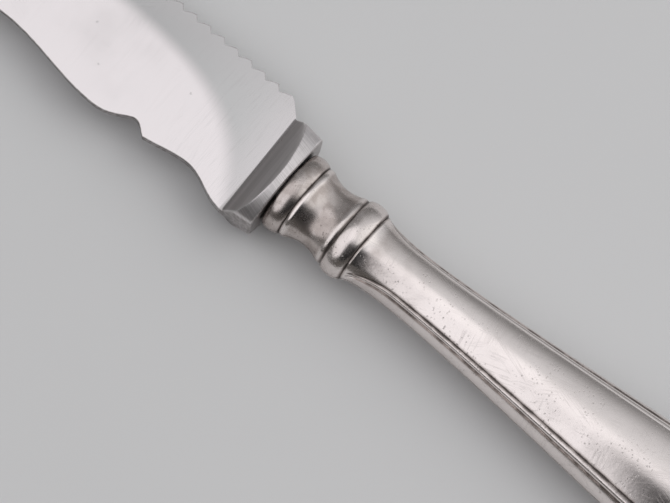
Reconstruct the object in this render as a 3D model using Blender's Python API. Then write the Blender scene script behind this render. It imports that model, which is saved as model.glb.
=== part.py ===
"""Tomato knife with a toothed steel blade in a hollow silver handle, lying on its side.

Metres, +Z up. The knife is laid out on its own axes: x = 0 is the mouth of the handle, +X runs
to the butt, +Y to the toothed edge, and z = 0 is the plane of the blade. One empty carries every
piece and sets the origin under the middle of the knife, on the surface that it lies on.
"""
import math

import bmesh
import bpy
from mathutils import Matrix, Vector
from mathutils.geometry import interpolate_bezier

OBJECT_NAME = "tomato_knife"

# Fits between the pieces
MOUTH_GAP = 0.0003
CEMENT_CLEARANCE = 0.0003
SOLDER_THICKNESS = 0.00012
SOLDER_CLEARANCE = 0.00002

# Handle collar, from the mouth towards the butt: bead, groove, fillet, cove, fillet, groove, bead, groove
COLLAR_FLATNESS = 0.76
MOUTH_HALF_WIDTH = 0.0065
BEAD_1_LENGTH = 0.0031
BEAD_1_HALF_WIDTH = 0.0069
GROOVE_1_HALF_WIDTH = 0.0062
GROOVE_LENGTH = 0.0003
FILLET_LENGTH = 0.0005
FILLET_1_HALF_WIDTH = 0.0064
COVE_LENGTH = 0.0062
COVE_HALF_WIDTH = 0.0054
FILLET_2_HALF_WIDTH = 0.0061
GROOVE_2_HALF_WIDTH = 0.00595
BEAD_2_LENGTH = 0.0037
BEAD_2_HALF_WIDTH = 0.00675
GROOVE_3_HALF_WIDTH = 0.0059
LIP_HALF_WIDTH = 0.0060

# Handle body
NECK_HALF_WIDTH = 0.00504
NECK_HALF_DEPTH = 0.0042
NECK_SWEEP = 0.0079
SWEEP_LIP_REACH = 0.12
SWEEP_LIP_DROP = 0.75
SWEEP_NECK_REACH = 0.45
FLARE_LENGTH = 0.057
FLARE_NECK_PULL = 0.011
FLARE_BUTT_PULL = 0.018
FLARE_RISE = 0.0016
FLARE_HALF_WIDTH = 0.00955
BELLY_HALF_DEPTH = 0.0054
BUTT_LENGTH = 0.0165
BUTT_SHOULDER_PULL = 0.007
BUTT_ROUNDNESS = 0.0072
SHELL_WALL = 0.0006

# Double thread that borders both faces of the handle, by angle up from the seam
THREAD_DEPTH = 0.00022
THREAD_HALF_WIDTH = 0.00026
OUTER_THREAD_ANGLE = math.radians(30)
INNER_THREAD_ANGLE = math.radians(43)
OUTER_THREAD_START_ANGLE = math.radians(14)
INNER_THREAD_START_ANGLE = math.radians(22)
THREAD_FAN_LENGTH = 0.0080
THREAD_FADE_SHARE = 0.25

# Blade edge and teeth, forward from the back of the bolster and sideways from the centre line
BLADE_LENGTH = 0.1092
CHEEK_HALF_THICKNESS = 0.00045
CHEEK_RISE = (
    (0.0380, CHEEK_HALF_THICKNESS),
    (0.0217, 0.00064),
    (0.0151, 0.00076),
    (0.0121, 0.00085),
    (0.0101, 0.00100),
    (0.0084, 0.00116),
    (0.0074, 0.00134),
    (0.0060, 0.00160),
)
EDGE_HALF_THICKNESS = 0.00015
GRIND_SLOPE = 0.06
GRIND_REACH = 0.0215
HEEL_FOOT = (0.0054, 0.0090)
HEEL_CORNER = (0.0078, 0.0115)
EDGE_START = (0.0085, 0.0119)
EDGE_START_PULL = (0.0413, 0.0024)
EDGE_TIP_PULL = (0.0195, 0.0150)
TOOTH_PITCH = 0.00277
TOOTH_HEIGHT = 0.00095
TOOTH_COUNT = 31
TOOTH_FORM = ((0.0, 1.0), (0.1, 0.95), (0.37, 0.62), (0.7, 0.0))

# Forked tip, back from the tip of the long prong
LONG_PRONG_SIDE = -0.0020
SHORT_PRONG_BACK = 0.0030
SHORT_PRONG_SIDE = -0.0085
PRONG_END_WIDTH = 0.0009
FORK_DEPTH = 0.0100
FORK_ROOT_RADIUS = 0.0011
FORK_LEAN = 0.35

# Blade spine, forward from the back of the bolster and sideways from the centre line
SPINE_ROOT = (0.0050, -0.0091)
SPINE_DIP = (0.0139, -0.0069)
SPINE_BEAK = (0.0216, -0.0081)
NOTCH_LIP = (0.0229, -0.0070)
NOTCH_FLOOR = (0.0246, -0.0066)
SPINE_HUMP = (0.0307, -0.0088)
SPINE_SADDLE = (0.0497, -0.0063)
SPINE_TIP_PULL = (0.0140, -0.0012)
NOTCH_EASE = 0.25
NOTCH_ROUNDNESS = 0.7
BEAK_EASE = 0.45
ROOT_EASE = 0.37

# Bolster and tang
BOLSTER_HALF_WIDTH = 0.0085
BOLSTER_FLARE = 0.13
BOLSTER_END_HALF_DEPTH = 0.0033
BOLSTER_HALF_DEPTH = 0.0053
BOLSTER_FRONT_BEVEL = 0.0003
BOLSTER_BACK_BEVEL = 0.0002
CROWN_SPREAD = 1.08
CROWN_FRONT = (0.0015, 0.0052)
DISH_CROWN_PULL = (0.0036, 0.0030)
DISH_FOOT_PULL = (0.0052, 0.0012)
DISH_FOOT = (0.00555, 0.0003)
BLADE_ROOT_DEPTH = 0.0022
BLADE_ROOT_INSET = 0.0008
TANG_LENGTH = 0.052
TANG_ROOT_WIDTH = 0.0056
TANG_ROOT_DEPTH = 0.0040
TANG_END_WIDTH = 0.0032
TANG_END_DEPTH = 0.0026

# Facets along each curve
BEAD_FACETS = 6
COVE_FACETS = 8
SWEEP_FACETS = 4
FLARE_FACETS = 12
BUTT_FACETS = 9
SPINE_FACETS = 8
NOTCH_FACETS = 4
EDGE_SAMPLES = 240
GRIND_FACETS = 22
FORK_FACETS = 8
CROWN_FACETS = 12
FACE_GIRTH_FACETS = 4
CORE_GIRTH_FACETS = 5

# Sizes that follow from the ones above
BACK_OF_BOLSTER = -MOUTH_GAP
SEAM_HALF_GAP = SOLDER_THICKNESS / 2 + SOLDER_CLEARANCE
COLLAR_LENGTH = (BEAD_1_LENGTH + BEAD_2_LENGTH + COVE_LENGTH + 3 * GROOVE_LENGTH + 2 * FILLET_LENGTH)
NECK_X = COLLAR_LENGTH + NECK_SWEEP
BUTT_CENTRE_X = NECK_X + FLARE_LENGTH
HANDLE_LENGTH = BUTT_CENTRE_X + BUTT_LENGTH
REST_HALF_DEPTH = max(BELLY_HALF_DEPTH, BOLSTER_HALF_DEPTH)
MERGE_DISTANCE = 1e-7
CUT_MARGIN = 0.002


def blend(start, end, share):
    return start + (end - start) * share


def curve_through(start, start_pull, end_pull, end, facets):
    """Points of one cubic curve, without its last point."""
    knots = [Vector(knot).to_3d() for knot in (start, start_pull, end_pull, end)]
    return interpolate_bezier(*knots, facets + 1)[:-1]


def forward(point):
    """A (forward, side) place on the blade as a point on the knife's axes."""
    return Vector((BACK_OF_BOLSTER - point[0], point[1], 0))


# Scene helpers


def clear_scene():
    for item in list(bpy.data.objects):
        bpy.data.objects.remove(item, do_unlink=True)


def make_collection(name):
    collection = bpy.data.collections.new(name)
    bpy.context.scene.collection.children.link(collection)
    return collection


def make_material(name, colour, metallic, roughness):
    material = bpy.data.materials.new(name)
    material.use_nodes = True
    shader = material.node_tree.nodes["Principled BSDF"]
    shader.inputs["Base Color"].default_value = (*colour, 1)
    shader.inputs["Metallic"].default_value = metallic
    shader.inputs["Roughness"].default_value = roughness
    return material


def mesh_from(bm, name):
    """A mesh with its doubles merged and its faces pointing out."""
    bmesh.ops.remove_doubles(bm, verts=bm.verts, dist=MERGE_DISTANCE)
    bmesh.ops.recalc_face_normals(bm, faces=bm.faces)
    mesh = bpy.data.meshes.new(name)
    bm.to_mesh(mesh)
    bm.free()
    return mesh


def add_object(name, mesh, collection, parent):
    item = bpy.data.objects.new(name, mesh)
    item.parent = parent
    collection.objects.link(item)
    return item


def add_cutter(name, mesh, collection, parent):
    item = add_object(name, mesh, collection, parent)
    item.hide_render = True
    item.display_type = "WIRE"
    return item


def boolean(item, operation, other):
    modifier = item.modifiers.new(other.name, "BOOLEAN")
    modifier.operation = operation
    modifier.solver = "EXACT"
    modifier.object = other


def finish(item, material):
    item.data.materials.append(material)
    item.data.shade_smooth()
    item.data.set_sharp_from_angle(angle=math.radians(30))


def prism(name, outline, half_thickness, turn=None):
    """A closed slab: a filled 2D outline, made a mesh and turned if asked."""
    curve = bpy.data.curves.new(name, "CURVE")
    curve.dimensions = "2D"
    curve.fill_mode = "BOTH"
    curve.extrude = half_thickness
    spline = curve.splines.new("POLY")
    spline.points.add(len(outline) - 1)
    for knot, place in zip(spline.points, outline):
        knot.co = (place[0], place[1], 0, 1)
    spline.use_cyclic_u = True
    holder = bpy.data.objects.new(name, curve)
    bpy.context.scene.collection.objects.link(holder)
    graph = bpy.context.evaluated_depsgraph_get()
    raw = bpy.data.meshes.new_from_object(holder.evaluated_get(graph))
    bpy.data.objects.remove(holder, do_unlink=True)
    bm = bmesh.new()
    bm.from_mesh(raw)
    bpy.data.meshes.remove(raw)
    mesh = mesh_from(bm, name)
    if turn:
        mesh.transform(turn.to_4x4())
    return mesh


# Local x, y, z of a slab become x, z, -y for a side profile and y, z, x for a cross section
SIDE_TURN = Matrix(((1, 0, 0), (0, 0, -1), (0, 1, 0)))
SECTION_TURN = Matrix(((0, 0, 1), (1, 0, 0), (0, 1, 0)))


# Handle


def bead(start_x, length, start_width, crest_width, end_width):
    """Stations of a half-round bead, without its last one."""
    stations = []
    for step in range(BEAD_FACETS):
        turn = math.pi * step / BEAD_FACETS
        share = (1 - math.cos(turn)) / 2
        base = blend(start_width, end_width, share)
        rise = crest_width - (start_width + end_width) / 2
        stations.append((start_x + length * share, base + rise * math.sin(turn)))
    return stations


def cove(start_x, length, start_width, floor_width, end_width):
    """Stations of a hollow between two fillets, without its last one."""
    stations = []
    for step in range(COVE_FACETS):
        share = step / COVE_FACETS
        base = blend(start_width, end_width, share)
        dip = (start_width + end_width) / 2 - floor_width
        stations.append((start_x + length * share, base - dip * 4 * share * (1 - share)))
    return stations


def collar_stations():
    """Half-widths of the turned collar, from the mouth to the lip of the body."""
    stations = bead(0, BEAD_1_LENGTH, MOUTH_HALF_WIDTH, BEAD_1_HALF_WIDTH, GROOVE_1_HALF_WIDTH)
    x = BEAD_1_LENGTH
    stations.append((x, GROOVE_1_HALF_WIDTH))
    x += GROOVE_LENGTH
    stations.append((x, FILLET_1_HALF_WIDTH))
    x += FILLET_LENGTH
    stations += cove(x, COVE_LENGTH, FILLET_1_HALF_WIDTH, COVE_HALF_WIDTH, FILLET_2_HALF_WIDTH)
    x += COVE_LENGTH
    stations.append((x, FILLET_2_HALF_WIDTH))
    x += FILLET_LENGTH
    stations.append((x, FILLET_2_HALF_WIDTH))
    x += GROOVE_LENGTH
    stations += bead(x, BEAD_2_LENGTH, GROOVE_2_HALF_WIDTH, BEAD_2_HALF_WIDTH, GROOVE_3_HALF_WIDTH)
    x += BEAD_2_LENGTH
    stations.append((x, GROOVE_3_HALF_WIDTH))
    return [Vector((place, width, width * COLLAR_FLATNESS)) for place, width in stations]


def sweep_stations():
    """From the lip of the body down to the slim neck."""
    lip = Vector((COLLAR_LENGTH, LIP_HALF_WIDTH, LIP_HALF_WIDTH * COLLAR_FLATNESS))
    neck = Vector((NECK_X, NECK_HALF_WIDTH, NECK_HALF_DEPTH))
    lip_pull = lip.lerp(neck, SWEEP_LIP_DROP)
    lip_pull.x = lip.x + NECK_SWEEP * SWEEP_LIP_REACH
    neck_pull = neck - Vector((NECK_SWEEP * SWEEP_NECK_REACH, 0, 0))
    return curve_through(lip, lip_pull, neck_pull, neck, SWEEP_FACETS)


def core_stations(inset):
    """The flare from the neck to the rounded butt, drawn in by a wall all round."""
    neck = Vector((NECK_X, NECK_HALF_WIDTH - inset, NECK_HALF_DEPTH - inset))
    flare = Vector((BUTT_CENTRE_X, FLARE_HALF_WIDTH - inset, BELLY_HALF_DEPTH - inset))
    neck_pull = neck + Vector((FLARE_NECK_PULL, 0, 0))
    flare_pull = flare - Vector((FLARE_BUTT_PULL, FLARE_RISE, 0))
    end = Vector((HANDLE_LENGTH - inset, 0, flare.z))
    lean = FLARE_RISE / FLARE_BUTT_PULL
    shoulder = flare + Vector((BUTT_SHOULDER_PULL, BUTT_SHOULDER_PULL * lean, 0))
    round_end = end + Vector((0, BUTT_ROUNDNESS - inset, 0))
    stations = curve_through(neck, neck_pull, flare_pull, flare, FLARE_FACETS)
    return stations + curve_through(flare, shoulder, round_end, end, BUTT_FACETS) + [end]


def thread_girth(station):
    """Angles up from the seam and depths cut there, over a quarter of the section."""
    width = station.y
    depth = station.z
    fan = min(max((station.x - COLLAR_LENGTH) / THREAD_FAN_LENGTH, 0), 1)
    cut = THREAD_DEPTH * min(fan / THREAD_FADE_SHARE, 1)
    girth = [(0, 0)]
    for first, last in (
        (OUTER_THREAD_START_ANGLE, OUTER_THREAD_ANGLE),
        (INNER_THREAD_START_ANGLE, INNER_THREAD_ANGLE),
    ):
        middle = blend(first, last, math.sin(fan * math.pi / 2))
        across = math.hypot(max(width, NECK_HALF_WIDTH) * math.sin(middle), depth * math.cos(middle))
        reach = THREAD_HALF_WIDTH / across
        girth += [(middle - reach, 0), (middle, cut), (middle + reach, 0)]
    start = girth[-1][0]
    girth.insert(1, (girth[1][0] / 2, 0))
    for step in range(1, FACE_GIRTH_FACETS + 1):
        girth.append((blend(start, math.pi / 2, step / FACE_GIRTH_FACETS), 0))
    return girth


def plain_girth(_station):
    return [(math.pi / 2 * step / CORE_GIRTH_FACETS, 0) for step in range(CORE_GIRTH_FACETS + 1)]


def surface_point(station, angle, cut, side):
    """A point of the handle: the section is an ellipse, and round the butt it turns about one centre."""
    centre = Vector((min(station.x, BUTT_CENTRE_X), 0, 0))
    reach = Vector((station.x, station.y, 0)) - centre
    width = reach.length
    out = reach.normalized() if width > 0 else Vector((1, 0, 0))
    normal = Vector((math.cos(angle) * station.z, math.sin(angle) * width))
    if normal.length > 0:
        normal.normalize()
    place = centre + out * (width * math.cos(angle) - cut * normal.x)
    place.z = station.z * math.sin(angle) - cut * normal.y
    place.y *= side
    return place


def loft(stations, girth_of):
    """A closed body through all stations, from an open mouth ring that gets a flat cap."""
    girths = [girth_of(station) for station in stations]
    quarter = len(girths[0]) - 1
    around = 4 * quarter
    along = len(stations) - 1
    bm = bmesh.new()
    bmesh.ops.create_grid(bm, x_segments=along, y_segments=around, size=0.5)
    for vert in bm.verts:
        row = round((vert.co.x + 0.5) * along)
        column = round((vert.co.y + 0.5) * around)
        half, place = divmod(column % around, 2 * quarter)
        side = 1 if place <= quarter else -1
        angle, cut = girths[row][min(place, 2 * quarter - place)]
        vert.co = surface_point(stations[row], angle, cut, side)
        if half:
            vert.co.y *= -1
            vert.co.z *= -1
    bmesh.ops.remove_doubles(bm, verts=bm.verts, dist=MERGE_DISTANCE)
    bmesh.ops.holes_fill(bm, edges=[edge for edge in bm.edges if edge.is_boundary])
    return bm


def slice_above(bm, height, upward):
    """Keep what lies above the level plane, or below it, and close the cut."""
    bmesh.ops.bisect_plane(
        bm,
        geom=[*bm.verts, *bm.edges, *bm.faces],
        dist=MERGE_DISTANCE,
        plane_co=(0, 0, height),
        plane_no=(0, 0, 1),
        clear_inner=upward,
        clear_outer=not upward,
    )
    bmesh.ops.holes_fill(bm, edges=[edge for edge in bm.edges if edge.is_boundary])


def outer_stations():
    return collar_stations() + sweep_stations() + core_stations(0)


def shell_mesh():
    bm = loft(outer_stations(), thread_girth)
    slice_above(bm, SEAM_HALF_GAP, True)
    return mesh_from(bm, "handle_shell")


def solder_mesh():
    bm = loft(outer_stations(), thread_girth)
    slice_above(bm, -SOLDER_THICKNESS / 2, True)
    slice_above(bm, SOLDER_THICKNESS / 2, False)
    return mesh_from(bm, "handle_seam_solder")


def hollow_mesh(name, inset, start_x):
    """A smooth filling of the hollow handle, straight through the collar."""
    stations = core_stations(inset)
    mouth = stations[0].copy()
    mouth.x = start_x
    return mesh_from(loft([mouth] + stations, plain_girth), name)


def tang_mesh(name, clearance):
    """A square bar that tapers from the bolster into the handle."""
    start = BACK_OF_BOLSTER - BOLSTER_BACK_BEVEL
    bm = bmesh.new()
    bmesh.ops.create_cube(bm, size=1)
    for vert in bm.verts:
        at_end = vert.co.x > 0
        width = (TANG_END_WIDTH if at_end else TANG_ROOT_WIDTH) + 2 * clearance
        depth = (TANG_END_DEPTH if at_end else TANG_ROOT_DEPTH) + 2 * clearance
        place = TANG_LENGTH + clearance if at_end else start
        vert.co = (place, vert.co.y * width, vert.co.z * depth)
    return mesh_from(bm, name)


# Blade


def tip_point():
    return Vector((BACK_OF_BOLSTER - BLADE_LENGTH, LONG_PRONG_SIDE, 0))


def edge_path():
    """The tooth line from the heel to the tip of the long prong, as closely spaced points."""
    start = forward(EDGE_START)
    start_pull = start + Vector((-EDGE_START_PULL[0], EDGE_START_PULL[1], 0))
    tip_pull = tip_point() + Vector((*EDGE_TIP_PULL, 0))
    return interpolate_bezier(start, start_pull, tip_pull, tip_point(), EDGE_SAMPLES)


def along_path(path, distance):
    """The point and the outward normal at a distance along a path."""
    for start, end in zip(path, path[1:]):
        step = (end - start).length
        if distance <= step or end is path[-1]:
            break
        distance -= step
    heading = (end - start).normalized()
    return start + heading * distance, Vector((heading.y, -heading.x, 0))


def toothed_edge():
    """Saw teeth that lean to the handle, then the plain edge up to the fork."""
    path = edge_path()
    outline = []
    for tooth in range(TOOTH_COUNT):
        for share, height in TOOTH_FORM:
            place, outward = along_path(path, (tooth + share) * TOOTH_PITCH)
            outline.append(place - outward * TOOTH_HEIGHT * (1 - height))
    toothed = TOOTH_COUNT * TOOTH_PITCH
    length = sum((end - start).length for start, end in zip(path, path[1:]))
    for step in range(SPINE_FACETS + 1):
        place, _outward = along_path(path, blend(toothed, length, step / SPINE_FACETS))
        outline.append(place)
    return outline


def fork():
    """The notch between the two prongs, from the long one to the short one."""
    long_tip = tip_point()
    short_tip = long_tip + Vector((SHORT_PRONG_BACK, SHORT_PRONG_SIDE - LONG_PRONG_SIDE, 0))
    across = (short_tip - long_tip).normalized()
    inward = Vector((1, FORK_LEAN, 0)).normalized()
    root = (long_tip + short_tip) / 2 + inward * FORK_DEPTH
    outline = [long_tip + across * PRONG_END_WIDTH]
    for step in range(FORK_FACETS + 1):
        turn = math.pi * step / FORK_FACETS
        left = Vector((-inward.y, inward.x, 0))
        outline.append(root + (left * math.cos(turn) + inward * math.sin(turn)) * FORK_ROOT_RADIUS)
    return outline + [short_tip - across * PRONG_END_WIDTH, short_tip]


def spine():
    """From the short prong back over saddle, hump, notch, beak and dip to the bolster."""
    short_tip = tip_point() + Vector((SHORT_PRONG_BACK, SHORT_PRONG_SIDE - LONG_PRONG_SIDE, 0))
    tip_pull = short_tip + Vector((SPINE_TIP_PULL[0], -SPINE_TIP_PULL[1], 0))
    saddle, hump, floor, lip, beak, dip, root = (
        forward(place)
        for place in (SPINE_SADDLE, SPINE_HUMP, NOTCH_FLOOR, NOTCH_LIP, SPINE_BEAK, SPINE_DIP, SPINE_ROOT)
    )
    saddle_run = (hump.x - saddle.x) / 3
    hump_run = (floor.x - hump.x) / 2
    beak_run = (dip.x - beak.x) / 3
    root_run = (root.x - dip.x) * ROOT_EASE
    outline = curve_through(
        short_tip, tip_pull, saddle - Vector((2 * saddle_run, 0, 0)), saddle, SPINE_FACETS
    )[1:]
    outline += curve_through(
        saddle, saddle + Vector((saddle_run, 0, 0)), hump - Vector((saddle_run, 0, 0)), hump, SPINE_FACETS
    )
    outline += curve_through(
        hump, hump + Vector((hump_run, 0, 0)), floor.lerp(hump, NOTCH_EASE), floor, SPINE_FACETS
    )
    bottom = (floor + lip) / 2
    bottom.y += abs(floor.y - lip.y)
    floor_pull = floor.lerp(bottom, NOTCH_ROUNDNESS)
    lip_pull = lip.lerp(bottom, NOTCH_ROUNDNESS)
    outline += curve_through(floor, floor_pull, lip_pull, lip, NOTCH_FACETS)
    outline.append(lip)
    outline += curve_through(
        beak, beak.lerp(dip, BEAK_EASE), dip - Vector((beak_run, 0, 0)), dip, SPINE_FACETS
    )
    outline += curve_through(
        dip, dip + Vector((root_run, 0, 0)), root - Vector((root_run, 0, 0)), root, SPINE_FACETS
    )
    return outline + [root]


def blade_outline():
    root_x = BACK_OF_BOLSTER - BLADE_ROOT_DEPTH
    root_side = BOLSTER_HALF_WIDTH - BLADE_ROOT_INSET
    heel = [Vector((root_x, root_side, 0)), forward(HEEL_FOOT), forward(HEEL_CORNER)]
    return heel + toothed_edge() + fork() + spine() + [Vector((root_x, -root_side, 0))]


def cheek_profile():
    """The blade from above its edge: level cheeks that thicken towards the heel."""
    half = [(tip_point().x - CUT_MARGIN, CHEEK_HALF_THICKNESS)]
    half += [(BACK_OF_BOLSTER - ahead, thickness) for ahead, thickness in CHEEK_RISE]
    half.append((BACK_OF_BOLSTER, CHEEK_RISE[-1][1]))
    return half + [(x, -z) for x, z in reversed(half)]


def grind_mesh():
    """What the grinding wheel takes off both faces along the edge."""
    path = edge_path()
    length = sum((end - start).length for start, end in zip(path, path[1:]))
    overrun = {0: -EDGE_START[0], GRIND_FACETS: CUT_MARGIN}
    bm = bmesh.new()
    bmesh.ops.create_grid(bm, x_segments=GRIND_FACETS, y_segments=1, size=0.5)
    for vert in bm.verts:
        step = round((vert.co.x + 0.5) * GRIND_FACETS)
        place, outward = along_path(path, length * step / GRIND_FACETS)
        heading = Vector((-outward.y, outward.x, 0))
        inward = GRIND_REACH if vert.co.y > 0 else -CUT_MARGIN
        vert.co = place + heading * overrun.get(step, 0) - outward * inward
        vert.co.z = EDGE_HALF_THICKNESS + GRIND_SLOPE * inward
    raised = bmesh.ops.extrude_face_region(bm, geom=bm.faces[:])["geom"]
    for vert in raised:
        if isinstance(vert, bmesh.types.BMVert):
            vert.co.z = BOLSTER_HALF_DEPTH
    lower = bmesh.ops.duplicate(bm, geom=[*bm.verts, *bm.edges, *bm.faces])["geom"]
    for vert in lower:
        if isinstance(vert, bmesh.types.BMVert):
            vert.co.z *= -1
    return mesh_from(bm, "edge_grind")


def bolster_profile():
    """The bolster from above its end: a dished front that climbs from the blade to a narrow crown."""
    dish = [
        (BACK_OF_BOLSTER - ahead, height)
        for ahead, height in (DISH_FOOT, DISH_FOOT_PULL, DISH_CROWN_PULL, CROWN_FRONT)
    ]
    half = [(place.x, place.y) for place in curve_through(*dish, COVE_FACETS)]
    crown = dish[-1]
    half += [
        crown,
        (crown[0] + BOLSTER_FRONT_BEVEL, BOLSTER_HALF_DEPTH),
        (BACK_OF_BOLSTER - BOLSTER_BACK_BEVEL, BOLSTER_HALF_DEPTH),
        (BACK_OF_BOLSTER, BOLSTER_HALF_DEPTH - BOLSTER_BACK_BEVEL),
    ]
    return half + [(x, -z) for x, z in reversed(half)]


def bolster_section():
    """The bolster from its front: an elliptical crown above and below, and level shoulders past it."""
    reach = CROWN_SPREAD * BOLSTER_HALF_WIDTH
    share_at_end = 1 - math.sqrt(1 - 1 / CROWN_SPREAD ** 2)
    rise = (BOLSTER_HALF_DEPTH - BOLSTER_END_HALF_DEPTH) / share_at_end
    shoulder = BOLSTER_HALF_DEPTH - rise
    top = [(-reach - CUT_MARGIN, shoulder)]
    for step in range(CROWN_FACETS + 1):
        turn = math.pi * (step / CROWN_FACETS - 0.5)
        top.append((reach * math.sin(turn), shoulder + rise * math.cos(turn)))
    top.append((reach + CUT_MARGIN, shoulder))
    return top + [(y, -z) for y, z in reversed(top)]


def bolster_plan():
    """The bolster from above: flat ends that spread a little towards the blade."""
    bevel_x = BACK_OF_BOLSTER - BOLSTER_BACK_BEVEL
    foot_x = BACK_OF_BOLSTER - DISH_FOOT[0] - CUT_MARGIN
    half = [
        (BACK_OF_BOLSTER, BOLSTER_HALF_WIDTH - BOLSTER_BACK_BEVEL),
        (bevel_x, BOLSTER_HALF_WIDTH),
        (foot_x, BOLSTER_HALF_WIDTH + BOLSTER_FLARE * (bevel_x - foot_x)),
    ]
    return half + [(x, -y) for x, y in reversed(half)]


def build_blade(parts, cutters, origin, material):
    blade = add_object("blade", prism("blade", blade_outline(), BOLSTER_HALF_DEPTH), parts, origin)
    reach = BLADE_LENGTH
    cheeks = add_cutter("cheeks", prism("cheeks", cheek_profile(), reach, SIDE_TURN), cutters, origin)
    grind = add_cutter("edge_grind", grind_mesh(), cutters, origin)
    bolster = add_cutter("bolster", prism("bolster", bolster_profile(), reach, SIDE_TURN), cutters, origin)
    section_mesh = prism("bolster_section", bolster_section(), reach, SECTION_TURN)
    section = add_cutter("bolster_section", section_mesh, cutters, origin)
    plan = add_cutter("bolster_plan", prism("bolster_plan", bolster_plan(), reach), cutters, origin)
    tang = add_cutter("tang", tang_mesh("tang", 0), cutters, origin)
    boolean(bolster, "INTERSECT", section)
    boolean(bolster, "INTERSECT", plan)
    boolean(blade, "INTERSECT", cheeks)
    boolean(blade, "DIFFERENCE", grind)
    boolean(blade, "UNION", bolster)
    boolean(blade, "UNION", tang)
    finish(blade, material)


def build_handle(parts, cutters, origin, silver, solder, cement):
    cavity_mesh = hollow_mesh("handle_cavity", SHELL_WALL, -CUT_MARGIN)
    cavity = add_cutter("handle_cavity", cavity_mesh, cutters, origin)
    half = shell_mesh()
    finish_pieces = []
    for name, roll in (("handle_front_shell", 0), ("handle_back_shell", math.pi)):
        shell = add_object(name, half.copy(), parts, origin)
        shell.rotation_euler.x = roll
        finish_pieces.append((shell, silver))
    seam = add_object("handle_seam_solder", solder_mesh(), parts, origin)
    finish_pieces.append((seam, solder))
    for item, material in finish_pieces:
        boolean(item, "DIFFERENCE", cavity)
        finish(item, material)
    fill_mesh = hollow_mesh("handle_cement", SHELL_WALL + CEMENT_CLEARANCE, CEMENT_CLEARANCE)
    fill = add_object("handle_cement", fill_mesh, parts, origin)
    bore = add_cutter("tang_bore", tang_mesh("tang_bore", CEMENT_CLEARANCE), cutters, origin)
    boolean(fill, "DIFFERENCE", bore)
    finish(fill, cement)


def middle_of(values):
    return (min(values) + max(values)) / 2


def main():
    clear_scene()
    parts = make_collection(OBJECT_NAME)
    cutters = make_collection(OBJECT_NAME + "_cutters")
    origin = bpy.data.objects.new(OBJECT_NAME + "_axes", None)
    parts.objects.link(origin)
    outline = blade_outline()
    handle = outer_stations()
    lengths = [place.x for place in outline + handle]
    sides = [place.y for place in outline + handle] + [-station.y for station in handle]
    origin.location = (-middle_of(lengths), -middle_of(sides), REST_HALF_DEPTH)
    steel = make_material("blade_steel", (0.72, 0.69, 0.69), 1.0, 0.28)
    silver = make_material("handle_silver", (0.84, 0.79, 0.77), 1.0, 0.24)
    solder = make_material("seam_solder", (0.60, 0.56, 0.52), 1.0, 0.40)
    cement = make_material("filling_cement", (0.30, 0.25, 0.21), 0.0, 0.90)
    build_blade(parts, cutters, origin, steel)
    build_handle(parts, cutters, origin, silver, solder, cement)


main()
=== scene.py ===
"""Looks of a tomato knife: toothed steel blade, hollow silver handle and a pale studio stage.

Metres, +Z up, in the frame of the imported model. Every piece is shaped on the knife's own axes, with
x = 0 at the mouth of the handle, +X to the butt, +Y to the toothed edge and z = 0 in the plane of the
blade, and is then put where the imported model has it.
"""
import bisect
import math
from collections import namedtuple

import bmesh
import bpy
from bpy.props import FloatProperty, FloatVectorProperty, IntProperty, PointerProperty
from bpy.types import Operator, Panel, PropertyGroup
from mathutils import Matrix, Vector
from mathutils.geometry import interpolate_bezier


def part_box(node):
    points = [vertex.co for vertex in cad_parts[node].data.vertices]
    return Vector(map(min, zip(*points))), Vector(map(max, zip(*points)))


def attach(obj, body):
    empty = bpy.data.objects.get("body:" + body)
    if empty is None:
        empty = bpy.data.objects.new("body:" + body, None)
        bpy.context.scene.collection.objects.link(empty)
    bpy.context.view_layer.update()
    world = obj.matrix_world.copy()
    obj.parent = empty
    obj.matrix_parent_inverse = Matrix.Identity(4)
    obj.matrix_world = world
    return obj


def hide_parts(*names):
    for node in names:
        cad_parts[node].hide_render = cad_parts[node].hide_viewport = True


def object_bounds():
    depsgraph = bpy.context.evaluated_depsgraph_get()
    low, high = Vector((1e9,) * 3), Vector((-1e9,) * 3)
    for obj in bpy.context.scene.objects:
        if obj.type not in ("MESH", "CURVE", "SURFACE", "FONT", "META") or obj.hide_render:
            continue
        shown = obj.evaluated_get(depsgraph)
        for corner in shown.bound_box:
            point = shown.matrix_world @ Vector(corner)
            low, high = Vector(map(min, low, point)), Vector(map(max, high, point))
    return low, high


bl_info = {
    "name": "Tomato Knife",
    "version": (1, 0, 0),
    "blender": (4, 5, 0),
    "location": "View3D > Sidebar > Tomato Knife",
    "description": "Makes a tomato knife with a toothed blade and a hollow silver handle",
    "category": "Add Mesh",
}

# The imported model
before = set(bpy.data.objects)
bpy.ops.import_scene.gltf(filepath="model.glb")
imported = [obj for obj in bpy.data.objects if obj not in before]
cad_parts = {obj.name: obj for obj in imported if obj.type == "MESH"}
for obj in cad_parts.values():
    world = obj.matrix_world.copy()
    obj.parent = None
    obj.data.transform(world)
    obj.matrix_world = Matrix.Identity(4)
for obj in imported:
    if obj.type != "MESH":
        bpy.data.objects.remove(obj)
CAD_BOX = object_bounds()
SEAM_LOW, SEAM_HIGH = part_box("handle_seam_solder")
KNIFE_AXES = Vector((SEAM_LOW.x, (SEAM_LOW.y + SEAM_HIGH.y) / 2, (SEAM_LOW.z + SEAM_HIGH.z) / 2))

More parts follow.
